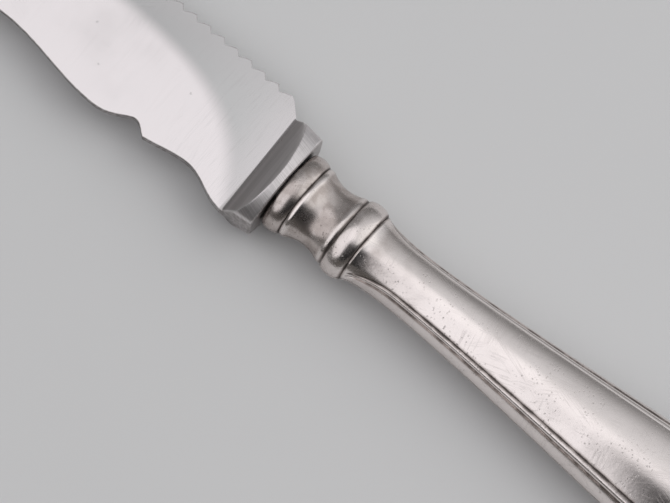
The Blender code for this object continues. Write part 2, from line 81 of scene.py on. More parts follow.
# Blade outline, forward from the back of the bolster and sideways from the centre line
BACK_OF_BOLSTER = -0.0003
BLADE_LENGTH = BACK_OF_BOLSTER - (CAD_BOX[0].x - KNIFE_AXES.x)
HEEL_FOOT = (0.0054, 0.0090)
HEEL_CORNER = (0.0078, 0.0115)
EDGE_START = (0.0085, 0.0119)
EDGE_START_PULL = (0.0413, 0.0024)
EDGE_TIP_PULL = (0.0195, 0.0150)
TOOTH_FORM = ((0.0, 1.0), (0.1, 0.95), (0.37, 0.62), (0.7, 0.0))
SPINE_ROOT = (0.0052, -0.0095)
SPINE_DIP = (0.0139, -0.0069)
SPINE_BEAK = (0.0216, -0.0081)
NOTCH_LIP = (0.0229, -0.0070)
NOTCH_FLOOR = (0.0246, -0.0066)
SPINE_HUMP = (0.0307, -0.0088)
SPINE_SADDLE = (0.0497, -0.0063)
SPINE_TIP_PULL = (0.0140, -0.0012)
NOTCH_EASE = 0.25
NOTCH_ROUNDNESS = 0.7
BEAK_EASE = 0.45
ROOT_EASE = 0.37
LONG_PRONG_SIDE = -0.0020
SHORT_PRONG_BACK = 0.0030
SHORT_PRONG_SIDE = -0.0085
PRONG_END_WIDTH = 0.0009
FORK_DEPTH = 0.0100
FORK_ROOT_RADIUS = 0.0011
FORK_LEAN = 0.35

# Blade faces
CHEEK_TAPER_START = 0.038
CHEEK_TAPER_EASE = 0.006
CHEEK_TAPER = 0.0125
HEEL_GRIND = 0.0145
HEEL_GRIND_PLACE = 0.006
HEEL_GRIND_EASE = 0.00785
GRIND_SOFTNESS = 0.0001
FOOT_SOFTNESS = 0.0006
CROWN_SOFTNESS = 0.00012
END_ROUNDING = 0.0005

# Bolster, forward from its back and up from the centre
CROWN_FRONT = (0.0015, 0.0052)
DISH_CROWN_PULL = (0.0036, 0.0030)
DISH_FOOT_PULL = (0.0049, 0.0014)
DISH_FOOT = (0.0053, 0.0003)
BACK_BEVEL = 0.0002
BOLSTER_FLARE = 0.13
CROWN_SPREAD = 1.08
DISH_SKEW = 0.04
CROWN_SLOPE = 0.18
CROWN_TWIST = 28
CROWN_TWIST_START = 0.003
FOOT_RUN = 0.0004
BOLSTER_SIDE = -0.0002

# Tang
TANG_LENGTH = 0.052
TANG_ROOT = (0.0056, 0.0040)
TANG_END = (0.0032, 0.0026)

# Handle collar, from the mouth towards the butt
COLLAR_FLATNESS = 0.76
MOUTH_HALF_WIDTH = 0.0063
BEAD_1_LENGTH = 0.0031
BEAD_1_HALF_WIDTH = 0.0069
GROOVE_1_HALF_WIDTH = 0.0062
GROOVE_LENGTH = 0.0003
FILLET_LENGTH = 0.0005
FILLET_1_HALF_WIDTH = 0.0064
COVE_LENGTH = 0.0062
COVE_HALF_WIDTH = 0.0054
FILLET_2_HALF_WIDTH = 0.0061
GROOVE_2_HALF_WIDTH = 0.00595
BEAD_2_LENGTH = 0.0037
BEAD_2_HALF_WIDTH = 0.00675
GROOVE_3_HALF_WIDTH = 0.0059
LIP_HALF_WIDTH = 0.0060
CORNER_CUT = 0.25

# Handle body
NECK_SWEEP = 0.0079
SWEEP_LIP_REACH = 0.12
SWEEP_LIP_DROP = 0.75
SWEEP_NECK_REACH = 0.45
FLARE_LENGTH = 0.057
FLARE_NECK_PULL = 0.011
FLARE_BUTT_PULL = 0.018
FLARE_RISE = 0.0016
BUTT_LENGTH = 0.0165
BUTT_SHOULDER_PULL = 0.007
BUTT_ROUNDNESS = 0.0072
SEAM_HALF_GAP = 0.00008
SOLDER_HALF_THICKNESS = 0.00006
SOLDER_INSET = 0.00004
FILLET_1_X = BEAD_1_LENGTH + GROOVE_LENGTH
COVE_X = FILLET_1_X + FILLET_LENGTH
FILLET_2_X = COVE_X + COVE_LENGTH
GROOVE_2_X = FILLET_2_X + FILLET_LENGTH
BEAD_2_X = GROOVE_2_X + GROOVE_LENGTH
GROOVE_3_X = BEAD_2_X + BEAD_2_LENGTH
COLLAR_LENGTH = GROOVE_3_X + GROOVE_LENGTH
NECK_X = COLLAR_LENGTH + NECK_SWEEP
BUTT_CENTRE_X = NECK_X + FLARE_LENGTH
HANDLE_LENGTH = BUTT_CENTRE_X + BUTT_LENGTH
SHELLS = (("front_shell", "handle_front_shell", 0), ("back_shell", "handle_back_shell", math.pi))

# Double thread, by angle up from the seam
OUTER_THREAD = (math.radians(14), math.radians(30))
INNER_THREAD = (math.radians(22), math.radians(43))
THREAD_FAN_LENGTH = 0.0080
THREAD_FADE_SHARE = 0.25

# Film on the handle, by place along it, and the grooves that hold tarnish, with painted shade at the mouth,
# by place, reach and level
HANDLE_FILM = (
    (0.0, 0.35),
    (BEAD_1_LENGTH, 0.35),
    (FILLET_1_X, 0.06),
    (COVE_X, 0.06),
    (COVE_X + FILLET_LENGTH, 0.38),
    (FILLET_2_X - FILLET_LENGTH, 0.45),
    (FILLET_2_X, 0.10),
    (GROOVE_2_X, 0.10),
    (BEAD_2_X, 0.28),
    (BEAD_2_X + BEAD_2_LENGTH / 2, 0.12),
    (GROOVE_3_X, 0.10),
    (COLLAR_LENGTH, 0.0),
    (COLLAR_LENGTH + 0.0008, 0.0),
    (COLLAR_LENGTH + 0.0018, 0.26),
    (COLLAR_LENGTH + 0.0035, 0.15),
    (COLLAR_LENGTH + 0.0085, 0.09),
    (COLLAR_LENGTH + 0.0140, 0.0),
    (HANDLE_LENGTH, 0.0),
)
GROOVE_TARNISH_AND_MOUTH_SHADE = (
    # At the mouth: tarnish and painted shade where the handle meets the bolster
    (0.0, 0.0004, 0.85),
    (BEAD_1_LENGTH, 0.00022, 1.0),
    (BEAD_2_X, 0.0003, 1.0),
    (GROOVE_3_X, 0.00025, 1.0),
)

# Thread by side of the handle: level and reach of tarnish and painted shade in the outer and inner groove,
# and film on the rim
THREAD_TARNISH_AND_SHADE = {1: ((1.0, 0.00024), (0.0, 0.00024)), -1: ((0.74, 0.00022), (1.0, 0.0003))}
RIM_FILM = {1: 0.12, -1: 0.0}

# Finishes, sizes of their features in metres
Streaks = namedtuple("Streaks", "sizes turn detail low high")
BLADE_GRAIN = (0.00009, 0.006, 0.006)
BLADE_LINES = Streaks((0.00022, 0.004, 0.004), 0.0, 2.0, 0.5, 0.74)
CROWN_GRAIN = Streaks((0.005, 0.00016, 0.005), math.radians(-12), 3.0, 0.4, 0.65)
DISH_STRIPES = Streaks((0.0007, 0.03, 0.03), DISH_SKEW, 1.0, 0.35, 0.65)
# Streaks that break up the grime and painted shade on the blade's rim
RIM_STREAKS = Streaks((0.0007, 0.0007, 0.0007), 0.0, 2.0, 0.4, 0.6)
HEEL_LINES_REACH = 0.008
BLEND_LENGTH = 0.0004
SCRATCH_CELL = (0.0005, 0.02, 0.02)
SCRATCH_PATCH = (0.004, 0.004, 0.004)
SCRATCH_TURNS = tuple(math.radians(angle) for angle in (-58, 12, 71, 104))
SCRATCH_FADE = 0.15
PIT_CELL = 0.0008
PIT_RAGGED_CELL = 0.0002
PIT_RAGGEDNESS = 0.0005
PIT_CORE = 0.4
DENT_CELL = (0.00045, 0.00045, 0.00045)
FILM_CELL = (0.007, 0.007, 0.007)
FLOOR_CELL = (0.05, 0.05, 0.05)
STEEL_RELIEF = 0.000003
SILVER_RELIEF = 0.00002
CEMENT_RELIEF = 0.0002

# Finishes, detail and middle of their noise
NOISE_MIDDLE = 0.5
GRAIN_DETAIL = 3.0
SCRATCH_DETAIL = 1.0
FILM_DETAIL = 5.0
FLOOR_DETAIL = 3.0

# Finishes, weight of each mask
BLADE_FINISHES = ("grime_and_shade", "crown", "ground")
STEEL_STAIN = {
    "film": 0.08, "lines": 0.16, "pits": 0.5, "scratches": 0.06, "brushed": 0.55, "streaked": 1.0
}
STEEL_DULLNESS = {"grain": 0.08, "film": 0.05, "crown": 0.24, "dish": 0.15}
STEEL_HEIGHT = {"grain": 0.5, "lines": -0.5, "scratches": -0.5, "pits": -1.0, "brushed": -1.0}
SILVER_COAT = {"film": 0.07, "blotches": 0.03, "warm": 2.3}
SILVER_DARK = {"tarnished_and_shaded": 0.97, "pits": 0.2, "scratches": 0.07}
SILVER_DULLNESS = {"film": 0.05, "warm": 0.2, "scratches": 0.1, "pits": 0.2}
SILVER_HEIGHT = {"waves": 2.0, "dents": 0.25, "scratches": -0.06, "pits": -0.5}
CEMENT_HEIGHT = {"film": 0.6, "pits": -1.0}

# Finishes, levels without a mask and what the mask adds
LINES_BY_HEEL = (0.3, 0.7)
STREAKS_BY_STRIPE = (0.42, 0.45)
BEVEL_BY_GROUND = (1.0, -0.5)
BEVEL_BY_ROOT = (1.0, -0.7)
RIM_BY_STREAKS = (0.5, 0.35)
PITS_BY_WEAR = (0.12, 0.88)
WARMTH_BY_BLOTCH = (0.7, 0.55)
SOLDER_DULLNESS = (0.35, 0.2)
CEMENT_DULLNESS = (0.75, 0.2)

# Finishes, single levels
BEVEL_START = 0.25
# Painted shade in the gap behind the bolster, and the share of the back bevel that is darkest
GAP_SHADE = 0.4
GAP_DARK_SHARE = 1 / 3
# Grime and painted shade along the teeth's edges, and painted shade on the bolster's end at the spine side
TOOTH_GRIME_AND_SHADE_REACH = 0.45
BOLSTER_END_SHADE = 0.75
# Where tarnish and painted shade turn the silver dark
TARNISH_AND_SHADE_RANGE = (0.42, 0.85)
CEMENT_SHADE = 0.6
FLOOR_SHADE = 0.97
FLOOR_ROUGHNESS = 0.8
FLOOR_SPECULAR = 0.2

# Stage, in degrees leaned from overhead to the room's right and to its far wall
RoomCard = namedtuple("RoomCard", "lean reach softness light")
ROOM_TURN = math.radians(38.5)
ROOM_GREY = (0.20, 0.20, 0.20)
ROOM_CARDS = (
    RoomCard((10, -62), (62, 38), 8, (0.10, 0.095, 0.09)),
    RoomCard((40, 8), (52, 38), 20, (0.70, 0.705, 0.72)),
    RoomCard((-17, 53), (24, 24), 3, (0.28, 0.28, 0.285)),
    RoomCard((52, -1), (38, 24), 4, (1.0, 1.0, 1.0)),
    RoomCard((-28, -6), (33, 35), 2.5, (1.01, 1.0, 1.025)),
    RoomCard((1, 9), (7, 14), 5, (1.07, 1.06, 1.08)),
)
LAMP_LEAN = (46, 7)
LAMP_DISTANCE = 0.9

# Dark cloths on the knife's axes: two corners, then place and softness of the edges along X and Y
Flag = namedtuple("Flag", "low high side_edge far_edge")
DARK_FLAGS = {
    "butt_flag": Flag((0.045, -0.07, 0.06), (0.15, 0.02, 0.06), (0.061, 0.008), (0.001, 0.012)),
    "collar_flag": Flag((-0.1, -4.0, 2.0), (2.5, 0.1, 2.0), (0.015, 0.04), (-0.28, 0.3)),
}
FLAG_STRENGTH = 0.97
FLAG_COLOUR = (0.02, 0.02, 0.02)

# Camera and floor
CAMERA_TARGET = (0.01155, -0.00312, -0.00047)
CAMERA_SENSOR = 36
FLOOR_RADIUS = 3.0
FLOOR_SEGMENTS = 64
FLOOR_GAP = 0.00005

# Facets
BEAD_FACETS = 18
COVE_FACETS = 22
SWEEP_FACETS = 22
FLARE_FACETS = 90
BUTT_FACETS = 40
RIM_FACETS = 8
GROOVE_FACETS = 4
BEAD_THREAD_FACETS = 12
FACE_FACETS = 14
CURVE_FACETS = 24
EDGE_SAMPLES = 320
FORK_FACETS = 16
FACE_ROWS = 72
TOOTH_ROWS = 10
COLUMN_STEP = 0.0004
COLUMN_CLEARANCE = 0.00012
BEVEL_COLUMNS = 3
CROWN_COLUMNS = 12
CROWN_EDGE_STEPS = 4
DISH_COLUMNS = 32
DISH_CROWDING = 1.5
TOOTH_ZONE = 0.00125
SHARP_ANGLE = math.radians(38)

# Joining and cutting
MERGE_DISTANCE = 1e-7
CUT_MARGIN = 0.002


def length(name, description, default):
    return FloatProperty(name=name, description=description, default=default, unit="LENGTH", precision=5)


def number(name, description, default):
    return FloatProperty(name=name, description=description, default=default)


def colour(name, description, default):
    return FloatVectorProperty(
        name=name, description=description, default=default, subtype="COLOR", min=0, max=1, size=3
    )


def share(name, description, default):
    return FloatProperty(name=name, description=description, default=default, subtype="FACTOR", min=0, max=1)


def turn(name, description, degrees):
    return FloatProperty(
        name=name, description=description, default=math.radians(degrees), unit="ROTATION", subtype="ANGLE"
    )


class TomatoKnifeBlade(PropertyGroup):
    length: length("Length", "From the back of the bolster to the long prong", BLADE_LENGTH)
    cheek_half_thickness: length("Half thickness", "Half the thickness of the level cheeks", 0.00045)
    edge_half_thickness: length("Edge half thickness", "Half the thickness at the teeth", 0.0001)
    grind_width: length("Grind width", "Width of the grind behind the teeth", 0.0056)
    tooth_pitch: length("Tooth pitch", "Distance from tooth to tooth", 0.00277)
    tooth_height: length("Tooth height", "Depth of the saw teeth", 0.00095)
    tooth_count: IntProperty(name="Teeth", description="How many saw teeth the edge has", default=31, min=1)
    bolster_half_width: length("Bolster half width", "Half the width of the bolster at its back", 0.0087)
    bolster_half_depth: length("Bolster half depth", "Half the depth of the bolster at its crown", 0.0053)
    bolster_end_half_depth: length("Bolster end half depth", "Half the depth of the bolster's ends", 0.0030)


class TomatoKnifeHandle(PropertyGroup):
    neck_half_width: length("Neck half width", "Half the width at the slim neck", 0.00504)
    neck_half_depth: length("Neck half depth", "Half the depth at the slim neck", 0.0042)
    flare_half_width: length("Flare half width", "Half the width where the butt starts to turn", 0.00955)
    belly_half_depth: length("Belly half depth", "Half the depth at the belly", 0.0054)
    wall: length("Wall", "Thickness of the stamped silver", 0.0006)
    thread_depth: length("Thread depth", "Depth of the two border grooves", 0.00022)
    groove_wall: length("Groove wall", "Width of a border groove's outer wall", 0.00014)


class TomatoKnifeFinish(PropertyGroup):
    steel: colour("Steel", "Colour of the ground blade", (0.766, 0.728, 0.73))
    steel_bevel: colour("Ground bevel", "Colour of the steel along the grind line", (0.665, 0.66, 0.655))
    steel_stain: colour("Steel stain", "Colour of the grey film on the steel", (0.52, 0.50, 0.49))
    steel_roughness: share("Steel roughness", "Roughness of the ground blade", 0.10)
    silver: colour("Silver", "Colour of the polished silver", (0.895, 0.83, 0.805))
    silver_film: colour("Silver film", "Colour of the thin warm film on the silver", (0.47, 0.415, 0.39))
    # The tarnish colour also paints shade at the handle's mouth and grooves and on the blade's rim and gap
    silver_tarnish: colour("Silver tarnish", "Colour of the dark tarnish in the grooves", (0.15, 0.13, 0.12))
    silver_roughness: share("Silver roughness", "Roughness of the polished silver", 0.17)
    solder: colour("Solder", "Colour of the seam", (0.60, 0.56, 0.52))
    cement: colour("Cement", "Colour of the filling in the handle", (0.30, 0.25, 0.21))


class TomatoKnifeStage(PropertyGroup):
    floor: colour("Floor", "Colour of the pale floor", (0.66, 0.66, 0.66))
    room: number("Room", "Brightness of the room around the knife", 1.0)
    lamp_power: FloatProperty(name="Lamp", description="Power of the soft lamp", default=1.8, unit="POWER")
    lamp_width: length("Lamp width", "Side of the soft lamp", 0.8)
    camera_azimuth: turn("Camera azimuth", "Where the camera stands round the knife", 38.9)
    camera_elevation: turn("Camera elevation", "How high the camera stands", 79)
    camera_lean: turn("Camera lean", "How far the camera leans round the knife's length", 8.5)
    camera_distance: length("Camera distance", "From the camera to its target", 0.5)
    camera_lens: number("Camera lens", "Focal length in millimetres", 179.1)


# Shared helpers


def mix(start, end, portion):
    return start + (end - start) * portion


def soft_min(first, second, softness):
    """The lower of two heights, rounded where they cross."""
    nearness = max(softness - abs(first - second), 0) / softness
    return min(first, second) - nearness * nearness * softness / 4


def soft_max(first, second, softness):
    return -soft_min(-first, -second, softness)


def curve_through(start, start_pull, end_pull, end, facets):
    """Points of one cubic curve, without its last point."""
    knots = [Vector(knot).to_3d() for knot in (start, start_pull, end_pull, end)]
    return interpolate_bezier(*knots, facets + 1)[:-1]


def forward(place):
    """A (forward, side) place on the blade as a point on the knife's axes."""
    return Vector((BACK_OF_BOLSTER - place[0], place[1], 0))


def across(line, x):
    """The second value of a line of pairs, in order of the first, at a place along it."""
    index = min(max(bisect.bisect_left(line, (x,)), 1), len(line) - 1)
    low, high = line[index - 1], line[index]
    if high[0] == low[0]:
        return low[1]
    return mix(low[1], high[1], (x - low[0]) / (high[0] - low[0]))


def as_line(points):
    return sorted((point.x, point.y) for point in points)


def link_mesh(name, bm):
    """A linked object made from a bmesh, which is used up."""
    mesh = bpy.data.meshes.new(name)
    bm.to_mesh(mesh)
    bm.free()
    made = bpy.data.objects.new(name, mesh)
    bpy.context.scene.collection.objects.link(made)
    return made


def thicken(bm, faces, height):
    """Flat faces raised into a closed block."""
    raised = bmesh.ops.extrude_face_region(bm, geom=faces)["geom"]
    tops = [item for item in raised if isinstance(item, bmesh.types.BMVert)]
    bmesh.ops.translate(bm, vec=(0, 0, height), verts=tops)
    bmesh.ops.recalc_face_normals(bm, faces=bm.faces)


def add_piece(name, bm, material, *nodes, slot):
    """A finished object in its place, riding on the knife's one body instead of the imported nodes."""
    bmesh.ops.translate(bm, vec=KNIFE_AXES, verts=bm.verts)
    piece = link_mesh(name, bm)
    piece.data.shade_smooth()
    piece.data.set_sharp_from_angle(angle=SHARP_ANGLE)
    piece.data.materials.append(material)
    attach(piece, "root")
    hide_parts(*nodes)


# Blade


def tip_point(blade):
    return Vector((BACK_OF_BOLSTER - blade.length, LONG_PRONG_SIDE, 0))


def short_tip_point(blade):
    return tip_point(blade) + Vector((SHORT_PRONG_BACK, SHORT_PRONG_SIDE - LONG_PRONG_SIDE, 0))


def edge_path(blade):
    """The line of the tooth tips from the heel to the long prong."""
    start = forward(EDGE_START)
    start_pull = start + Vector((-EDGE_START_PULL[0], EDGE_START_PULL[1], 0))
    tip = tip_point(blade)
    return interpolate_bezier(start, start_pull, tip + Vector((*EDGE_TIP_PULL, 0)), tip, EDGE_SAMPLES)


def along_path(path, distance):
    """The point and the outward normal at a distance along a path."""
    for start, end in zip(path, path[1:]):
        step = (end - start).length
        if distance <= step:
            break
        distance -= step
    heading = (end - start).normalized()
    return start + heading * distance, Vector((heading.y, -heading.x, 0))


def toothed_edge(blade, path):
    """Saw teeth that lean to the handle, then the plain edge up to the long prong."""
    outline = []
    for tooth in range(blade.tooth_count):
        for place, height in TOOTH_FORM:
            point, outward = along_path(path, (tooth + place) * blade.tooth_pitch)
            outline.append(point - outward * blade.tooth_height * (1 - height))
    last_x = outline[-1].x - blade.tooth_pitch * (1 - TOOTH_FORM[-1][0])
    return outline + [point for point in path if point.x < last_x]


def bolster_half_width_at(blade, ahead):
    """Half the width of the bolster, which spreads a little towards the blade."""
    if ahead < BACK_BEVEL:
        return blade.bolster_half_width - BACK_BEVEL + ahead
    return blade.bolster_half_width + BOLSTER_FLARE * (ahead - BACK_BEVEL)


def spine(blade):
    """The back of the blade from the short prong over saddle, hump, notch, beak and dip to the bolster."""
    short_tip = short_tip_point(blade)
    tip_pull = short_tip + Vector((SPINE_TIP_PULL[0], -SPINE_TIP_PULL[1], 0))
    saddle, hump, floor, lip, beak, dip, root = (
        forward(place)
        for place in (SPINE_SADDLE, SPINE_HUMP, NOTCH_FLOOR, NOTCH_LIP, SPINE_BEAK, SPINE_DIP, SPINE_ROOT)
    )
    saddle_run = Vector(((hump.x - saddle.x) / 3, 0, 0))
    hump_run = Vector(((floor.x - hump.x) / 2, 0, 0))
    beak_run = Vector(((dip.x - beak.x) / 3, 0, 0))
    root_run = Vector(((root.x - dip.x) * ROOT_EASE, 0, 0))
    bottom = (floor + lip) / 2
    bottom.y += abs(floor.y - lip.y)
    floor_pull = floor.lerp(bottom, NOTCH_ROUNDNESS)
    lip_pull = lip.lerp(bottom, NOTCH_ROUNDNESS)
    outline = [tip_point(blade)]
    outline += curve_through(short_tip, tip_pull, saddle - 2 * saddle_run, saddle, CURVE_FACETS)
    outline += curve_through(saddle, saddle + saddle_run, hump - saddle_run, hump, CURVE_FACETS)
    outline += curve_through(hump, hump + hump_run, floor.lerp(hump, NOTCH_EASE), floor, CURVE_FACETS)
    outline += curve_through(floor, floor_pull, lip_pull, lip, CURVE_FACETS)
    outline.append(lip)
    outline += curve_through(beak, beak.lerp(dip, BEAK_EASE), dip - beak_run, dip, CURVE_FACETS)
    outline += curve_through(dip, dip + root_run, root - root_run, root, CURVE_FACETS)
    return outline + [root]


class BladeForm:
    """Everything that gives the height of the blade's face at a place on it."""

    def __init__(self, blade):
        self.blade = blade
        path = edge_path(blade)
        heel = [forward(HEEL_FOOT), forward(HEEL_CORNER)]
        self.teeth = toothed_edge(blade, path)
        self.back = spine(blade)
        self.edge_line = as_line(heel + self.teeth)
        self.plain_line = as_line(path)
        self.back_line = as_line(self.back)
        self.tip_x = tip_point(blade).x
        self.crown_reach = CROWN_SPREAD * blade.bolster_half_width
        fall = 1 - math.sqrt(1 - 1 / CROWN_SPREAD ** 2)
        self.crown_rise = (blade.bolster_half_depth - blade.bolster_end_half_depth) / fall
        knots = [Vector(place) for place in (CROWN_FRONT, DISH_CROWN_PULL, DISH_FOOT_PULL, DISH_FOOT)]
        dish = interpolate_bezier(*knots, CURVE_FACETS)
        self.dish_line = as_line(dish)
        self.dish_by_height = sorted((point.y, point.x) for point in dish)

    def crown(self, ahead, y):
        """Height of the crown, an ellipse that is cut off by the ends and falls towards the handle."""
        share_out = min(abs(y - BOLSTER_SIDE) / self.crown_reach, 1)
        level = self.blade.bolster_half_depth - self.crown_rise * (1 - math.sqrt(1 - share_out ** 2))
        slope = CROWN_SLOPE + CROWN_TWIST * max(BOLSTER_SIDE - y - CROWN_TWIST_START, 0)
        return level - slope * (CROWN_FRONT[0] - ahead)

    def crown_edge(self, y):
        """How far ahead of the back of the bolster its crown drops into the dish."""
        edge = CROWN_FRONT[0]
        for _step in range(CROWN_EDGE_STEPS):
            face = self.face(BACK_OF_BOLSTER - edge, y)
            drop = (self.crown(edge, y) - face) / (CROWN_FRONT[1] - face)
            edge = across(self.dish_by_height, mix(DISH_FOOT[1], CROWN_FRONT[1], drop)) + DISH_SKEW * y
        return edge

    def dish(self, ahead, y, face):
        """Height of the dish, which falls from the crown to a straight foot on the blade's face."""
        level = across(self.dish_line, ahead - DISH_SKEW * y)
        return mix(face, CROWN_FRONT[1], (level - DISH_FOOT[1]) / (CROWN_FRONT[1] - DISH_FOOT[1]))

    def cheek(self, ahead):
        run = CHEEK_TAPER_START - ahead
        return self.blade.cheek_half_thickness + CHEEK_TAPER * (run + math.hypot(run, CHEEK_TAPER_EASE)) / 2

    def face(self, x, y):
        """The ground face of the blade, whose grind widens towards the heel."""
        ahead = BACK_OF_BOLSTER - x
        reach = min(max(x, self.tip_x), -EDGE_START[0])
        edge_y = across(self.plain_line, reach)
        lean = (across(self.plain_line, reach + COLUMN_STEP) - edge_y) / COLUMN_STEP
        inward = max(edge_y - y, 0) / math.hypot(1, lean)
        cheek = self.cheek(ahead)
        width = self.blade.grind_width + HEEL_GRIND * math.exp((HEEL_GRIND_PLACE - ahead) / HEEL_GRIND_EASE)
        grind = mix(self.blade.edge_half_thickness, cheek, inward / width)
        return soft_min(cheek, grind, GRIND_SOFTNESS)

    def bolster(self, x, y):
        ahead = BACK_OF_BOLSTER - x
        face = self.face(x, y)
        crown = self.crown(ahead, y) - max(BACK_BEVEL - ahead, 0)
        height = soft_min(crown, self.dish(ahead, y, face), CROWN_SOFTNESS)
        from_end = bolster_half_width_at(self.blade, ahead) - abs(y - BOLSTER_SIDE)
        inset = min(max(END_ROUNDING - from_end, 0), END_ROUNDING)
        rounding = END_ROUNDING - math.sqrt(END_ROUNDING ** 2 - inset ** 2)
        return soft_max(height - rounding, face, FOOT_SOFTNESS)

    def bolster_ends(self, ahead):
        """Both ends of the bolster, or of the blade's root where that is wider."""
        x = BACK_OF_BOLSTER - ahead
        half_width = bolster_half_width_at(self.blade, ahead)
        low, high = BOLSTER_SIDE - half_width, BOLSTER_SIDE + half_width
        if ahead > SPINE_ROOT[0]:
            low = min(low, across(self.back_line, x))
        if ahead > HEEL_FOOT[0]:
            high = max(high, across(self.edge_line, x))
        return low, high

    def columns(self):
        """Places along the blade: every corner of its outline, and an even fill between them."""
        corners = {point.x for point in self.teeth}
        bends = (HEEL_CORNER, NOTCH_LIP, SPINE_BEAK, NOTCH_FLOOR, SPINE_HUMP)
        corners |= {forward(place).x for place in bends}
        first_x = forward(DISH_FOOT).x - FOOT_RUN - DISH_SKEW * HEEL_FOOT[1] - COLUMN_CLEARANCE
        corners |= {self.tip_x, short_tip_point(self.blade).x, first_x}
        corners = sorted(x for x in corners if x <= first_x)
        places = []
        for low, high in zip(corners, corners[1:]):
            if high - low < COLUMN_CLEARANCE / 2:
                continue
            count = max(math.ceil((high - low) / COLUMN_STEP), 1)
            places += [mix(low, high, step / count) for step in range(count)]
        return sorted(places + [corners[-1]], reverse=True)


def row_place(row, low, high, root):
    """A row's place across the blade: close rows at the back, and rows of their own for the teeth."""
    if row <= FACE_ROWS:
        portion = row / FACE_ROWS
        return mix(low, root, portion - math.sin(math.pi * portion) * (1 - portion) / (2 * math.pi))
    portion = (row - FACE_ROWS) / TOOTH_ROWS
    return mix(root, high, 1 - (1 - portion) ** 2)


def bolster_row(form, ahead, row):
    low, high = form.bolster_ends(ahead)
    return row_place(row, low, high, high - TOOTH_ZONE)


def bolster_place(form, column, row):
    """A point of the bolster's upper half, in columns that follow the edge of its crown."""
    past_bevel = column - BEVEL_COLUMNS
    past_crown = past_bevel - CROWN_COLUMNS
    if past_bevel <= 0:
        ahead = BACK_BEVEL * column / BEVEL_COLUMNS
    elif past_crown <= 0:
        y = bolster_row(form, CROWN_FRONT[0], row)
        ahead = mix(BACK_BEVEL, form.crown_edge(y), past_bevel / CROWN_COLUMNS)
    else:
        y = bolster_row(form, DISH_FOOT[0], row)
        run = 1 - (1 - past_crown / DISH_COLUMNS) ** DISH_CROWDING
        ahead = mix(form.crown_edge(y), DISH_FOOT[0] + FOOT_RUN + DISH_SKEW * y, run)
    x = BACK_OF_BOLSTER - ahead
    y = bolster_row(form, ahead, row)
    return Vector((x, y, form.bolster(x, y)))


def blade_place(form, x, row):
    """A point of the blade's upper face."""
    low = across(form.back_line, x)
    high = max(across(form.edge_line, x), low)
    plain = across(form.plain_line, x) if x < -EDGE_START[0] else high
    root = max(min(plain - TOOTH_ZONE, high), (low + high) / 2)
    y = row_place(row, low, high, root)
    return Vector((x, y, form.face(x, y)))


def blade_finish(form, place, column, row):
    """Grime and painted shade on the blade's rim, the brushed crown and the ground bevel at a point, each
    from 0 to 1.
    """
    on_bolster = column <= BEVEL_COLUMNS + CROWN_COLUMNS + DISH_COLUMNS
    grime_and_shade = 0
    # Grime and painted shade on the spine's wall, and painted shade on the bolster's end
    if row == 0:
        grime_and_shade = BOLSTER_END_SHADE if on_bolster else 1
    # Grime and painted shade along the teeth's edges
    if form.teeth[-1].x < place.x < form.teeth[0].x:
        portion = (row - FACE_ROWS) / TOOTH_ROWS
        grime_and_shade = max(grime_and_shade, 1 - (1 - portion) / TOOTH_GRIME_AND_SHADE_REACH)
    crown = 1 if column <= BEVEL_COLUMNS + CROWN_COLUMNS else 0
    cheek = form.cheek(BACK_OF_BOLSTER - place.x)
    ground = min(max((cheek - place.z) / (cheek - form.blade.edge_half_thickness), 0), 1)
    return grime_and_shade, crown, ground


def blade_body(blade):
    """The upper half of blade and bolster as one skin, walled down to the middle and mirrored."""
    form = BladeForm(blade)
    bolster_columns = BEVEL_COLUMNS + CROWN_COLUMNS + DISH_COLUMNS + 1
    places = form.columns()
    along = bolster_columns + len(places) - 1
    rows = FACE_ROWS + TOOTH_ROWS
    bm = bmesh.new()
    layers = [bm.verts.layers.float.new(name) for name in BLADE_FINISHES]
    bmesh.ops.create_grid(bm, x_segments=along, y_segments=rows, size=0.5)
    for vert in bm.verts:
        column = round((vert.co.x + 0.5) * along)
        row = round((vert.co.y + 0.5) * rows)
        if column < bolster_columns:
            vert.co = bolster_place(form, column, row)
        else:
            vert.co = blade_place(form, places[column - bolster_columns], row)
        for layer, value in zip(layers, blade_finish(form, vert.co, column, row)):
            vert[layer] = value
    rim = [edge for edge in bm.edges if edge.is_boundary]
    walls = bmesh.ops.extrude_edge_only(bm, edges=rim)["geom"]
    for item in walls:
        if isinstance(item, bmesh.types.BMVert):
            item.co.z = 0
    bmesh.ops.mirror(bm, geom=[*bm.verts, *bm.edges, *bm.faces], axis="Z", merge_dist=MERGE_DISTANCE)
    bmesh.ops.remove_doubles(bm, verts=bm.verts, dist=MERGE_DISTANCE)
    bmesh.ops.dissolve_degenerate(bm, edges=bm.edges, dist=MERGE_DISTANCE)
    bmesh.ops.recalc_face_normals(bm, faces=bm.faces)
    return bm


def fork_cutter(blade):
    """The notch between the prongs as a closed block."""
    long_tip = tip_point(blade)
    short_tip = short_tip_point(blade)
    way = (short_tip - long_tip).normalized()
    inward = Vector((1, FORK_LEAN, 0)).normalized()
    left = Vector((-inward.y, inward.x, 0))
    root = (long_tip + short_tip) / 2 + inward * FORK_DEPTH
    outline = [long_tip + way * PRONG_END_WIDTH]
    for step in range(FORK_FACETS + 1):
        angle = math.pi * step / FORK_FACETS
        outline.append(root + (left * math.cos(angle) + inward * math.sin(angle)) * FORK_ROOT_RADIUS)
    outline.append(short_tip - way * PRONG_END_WIDTH)
    outline += [outline[-1] - inward * CUT_MARGIN, outline[0] - inward * CUT_MARGIN]
    bm = bmesh.new()
    base = bm.faces.new([bm.verts.new(point - Vector((0, 0, CUT_MARGIN))) for point in outline])
    thicken(bm, [base], 2 * CUT_MARGIN)
    return bm


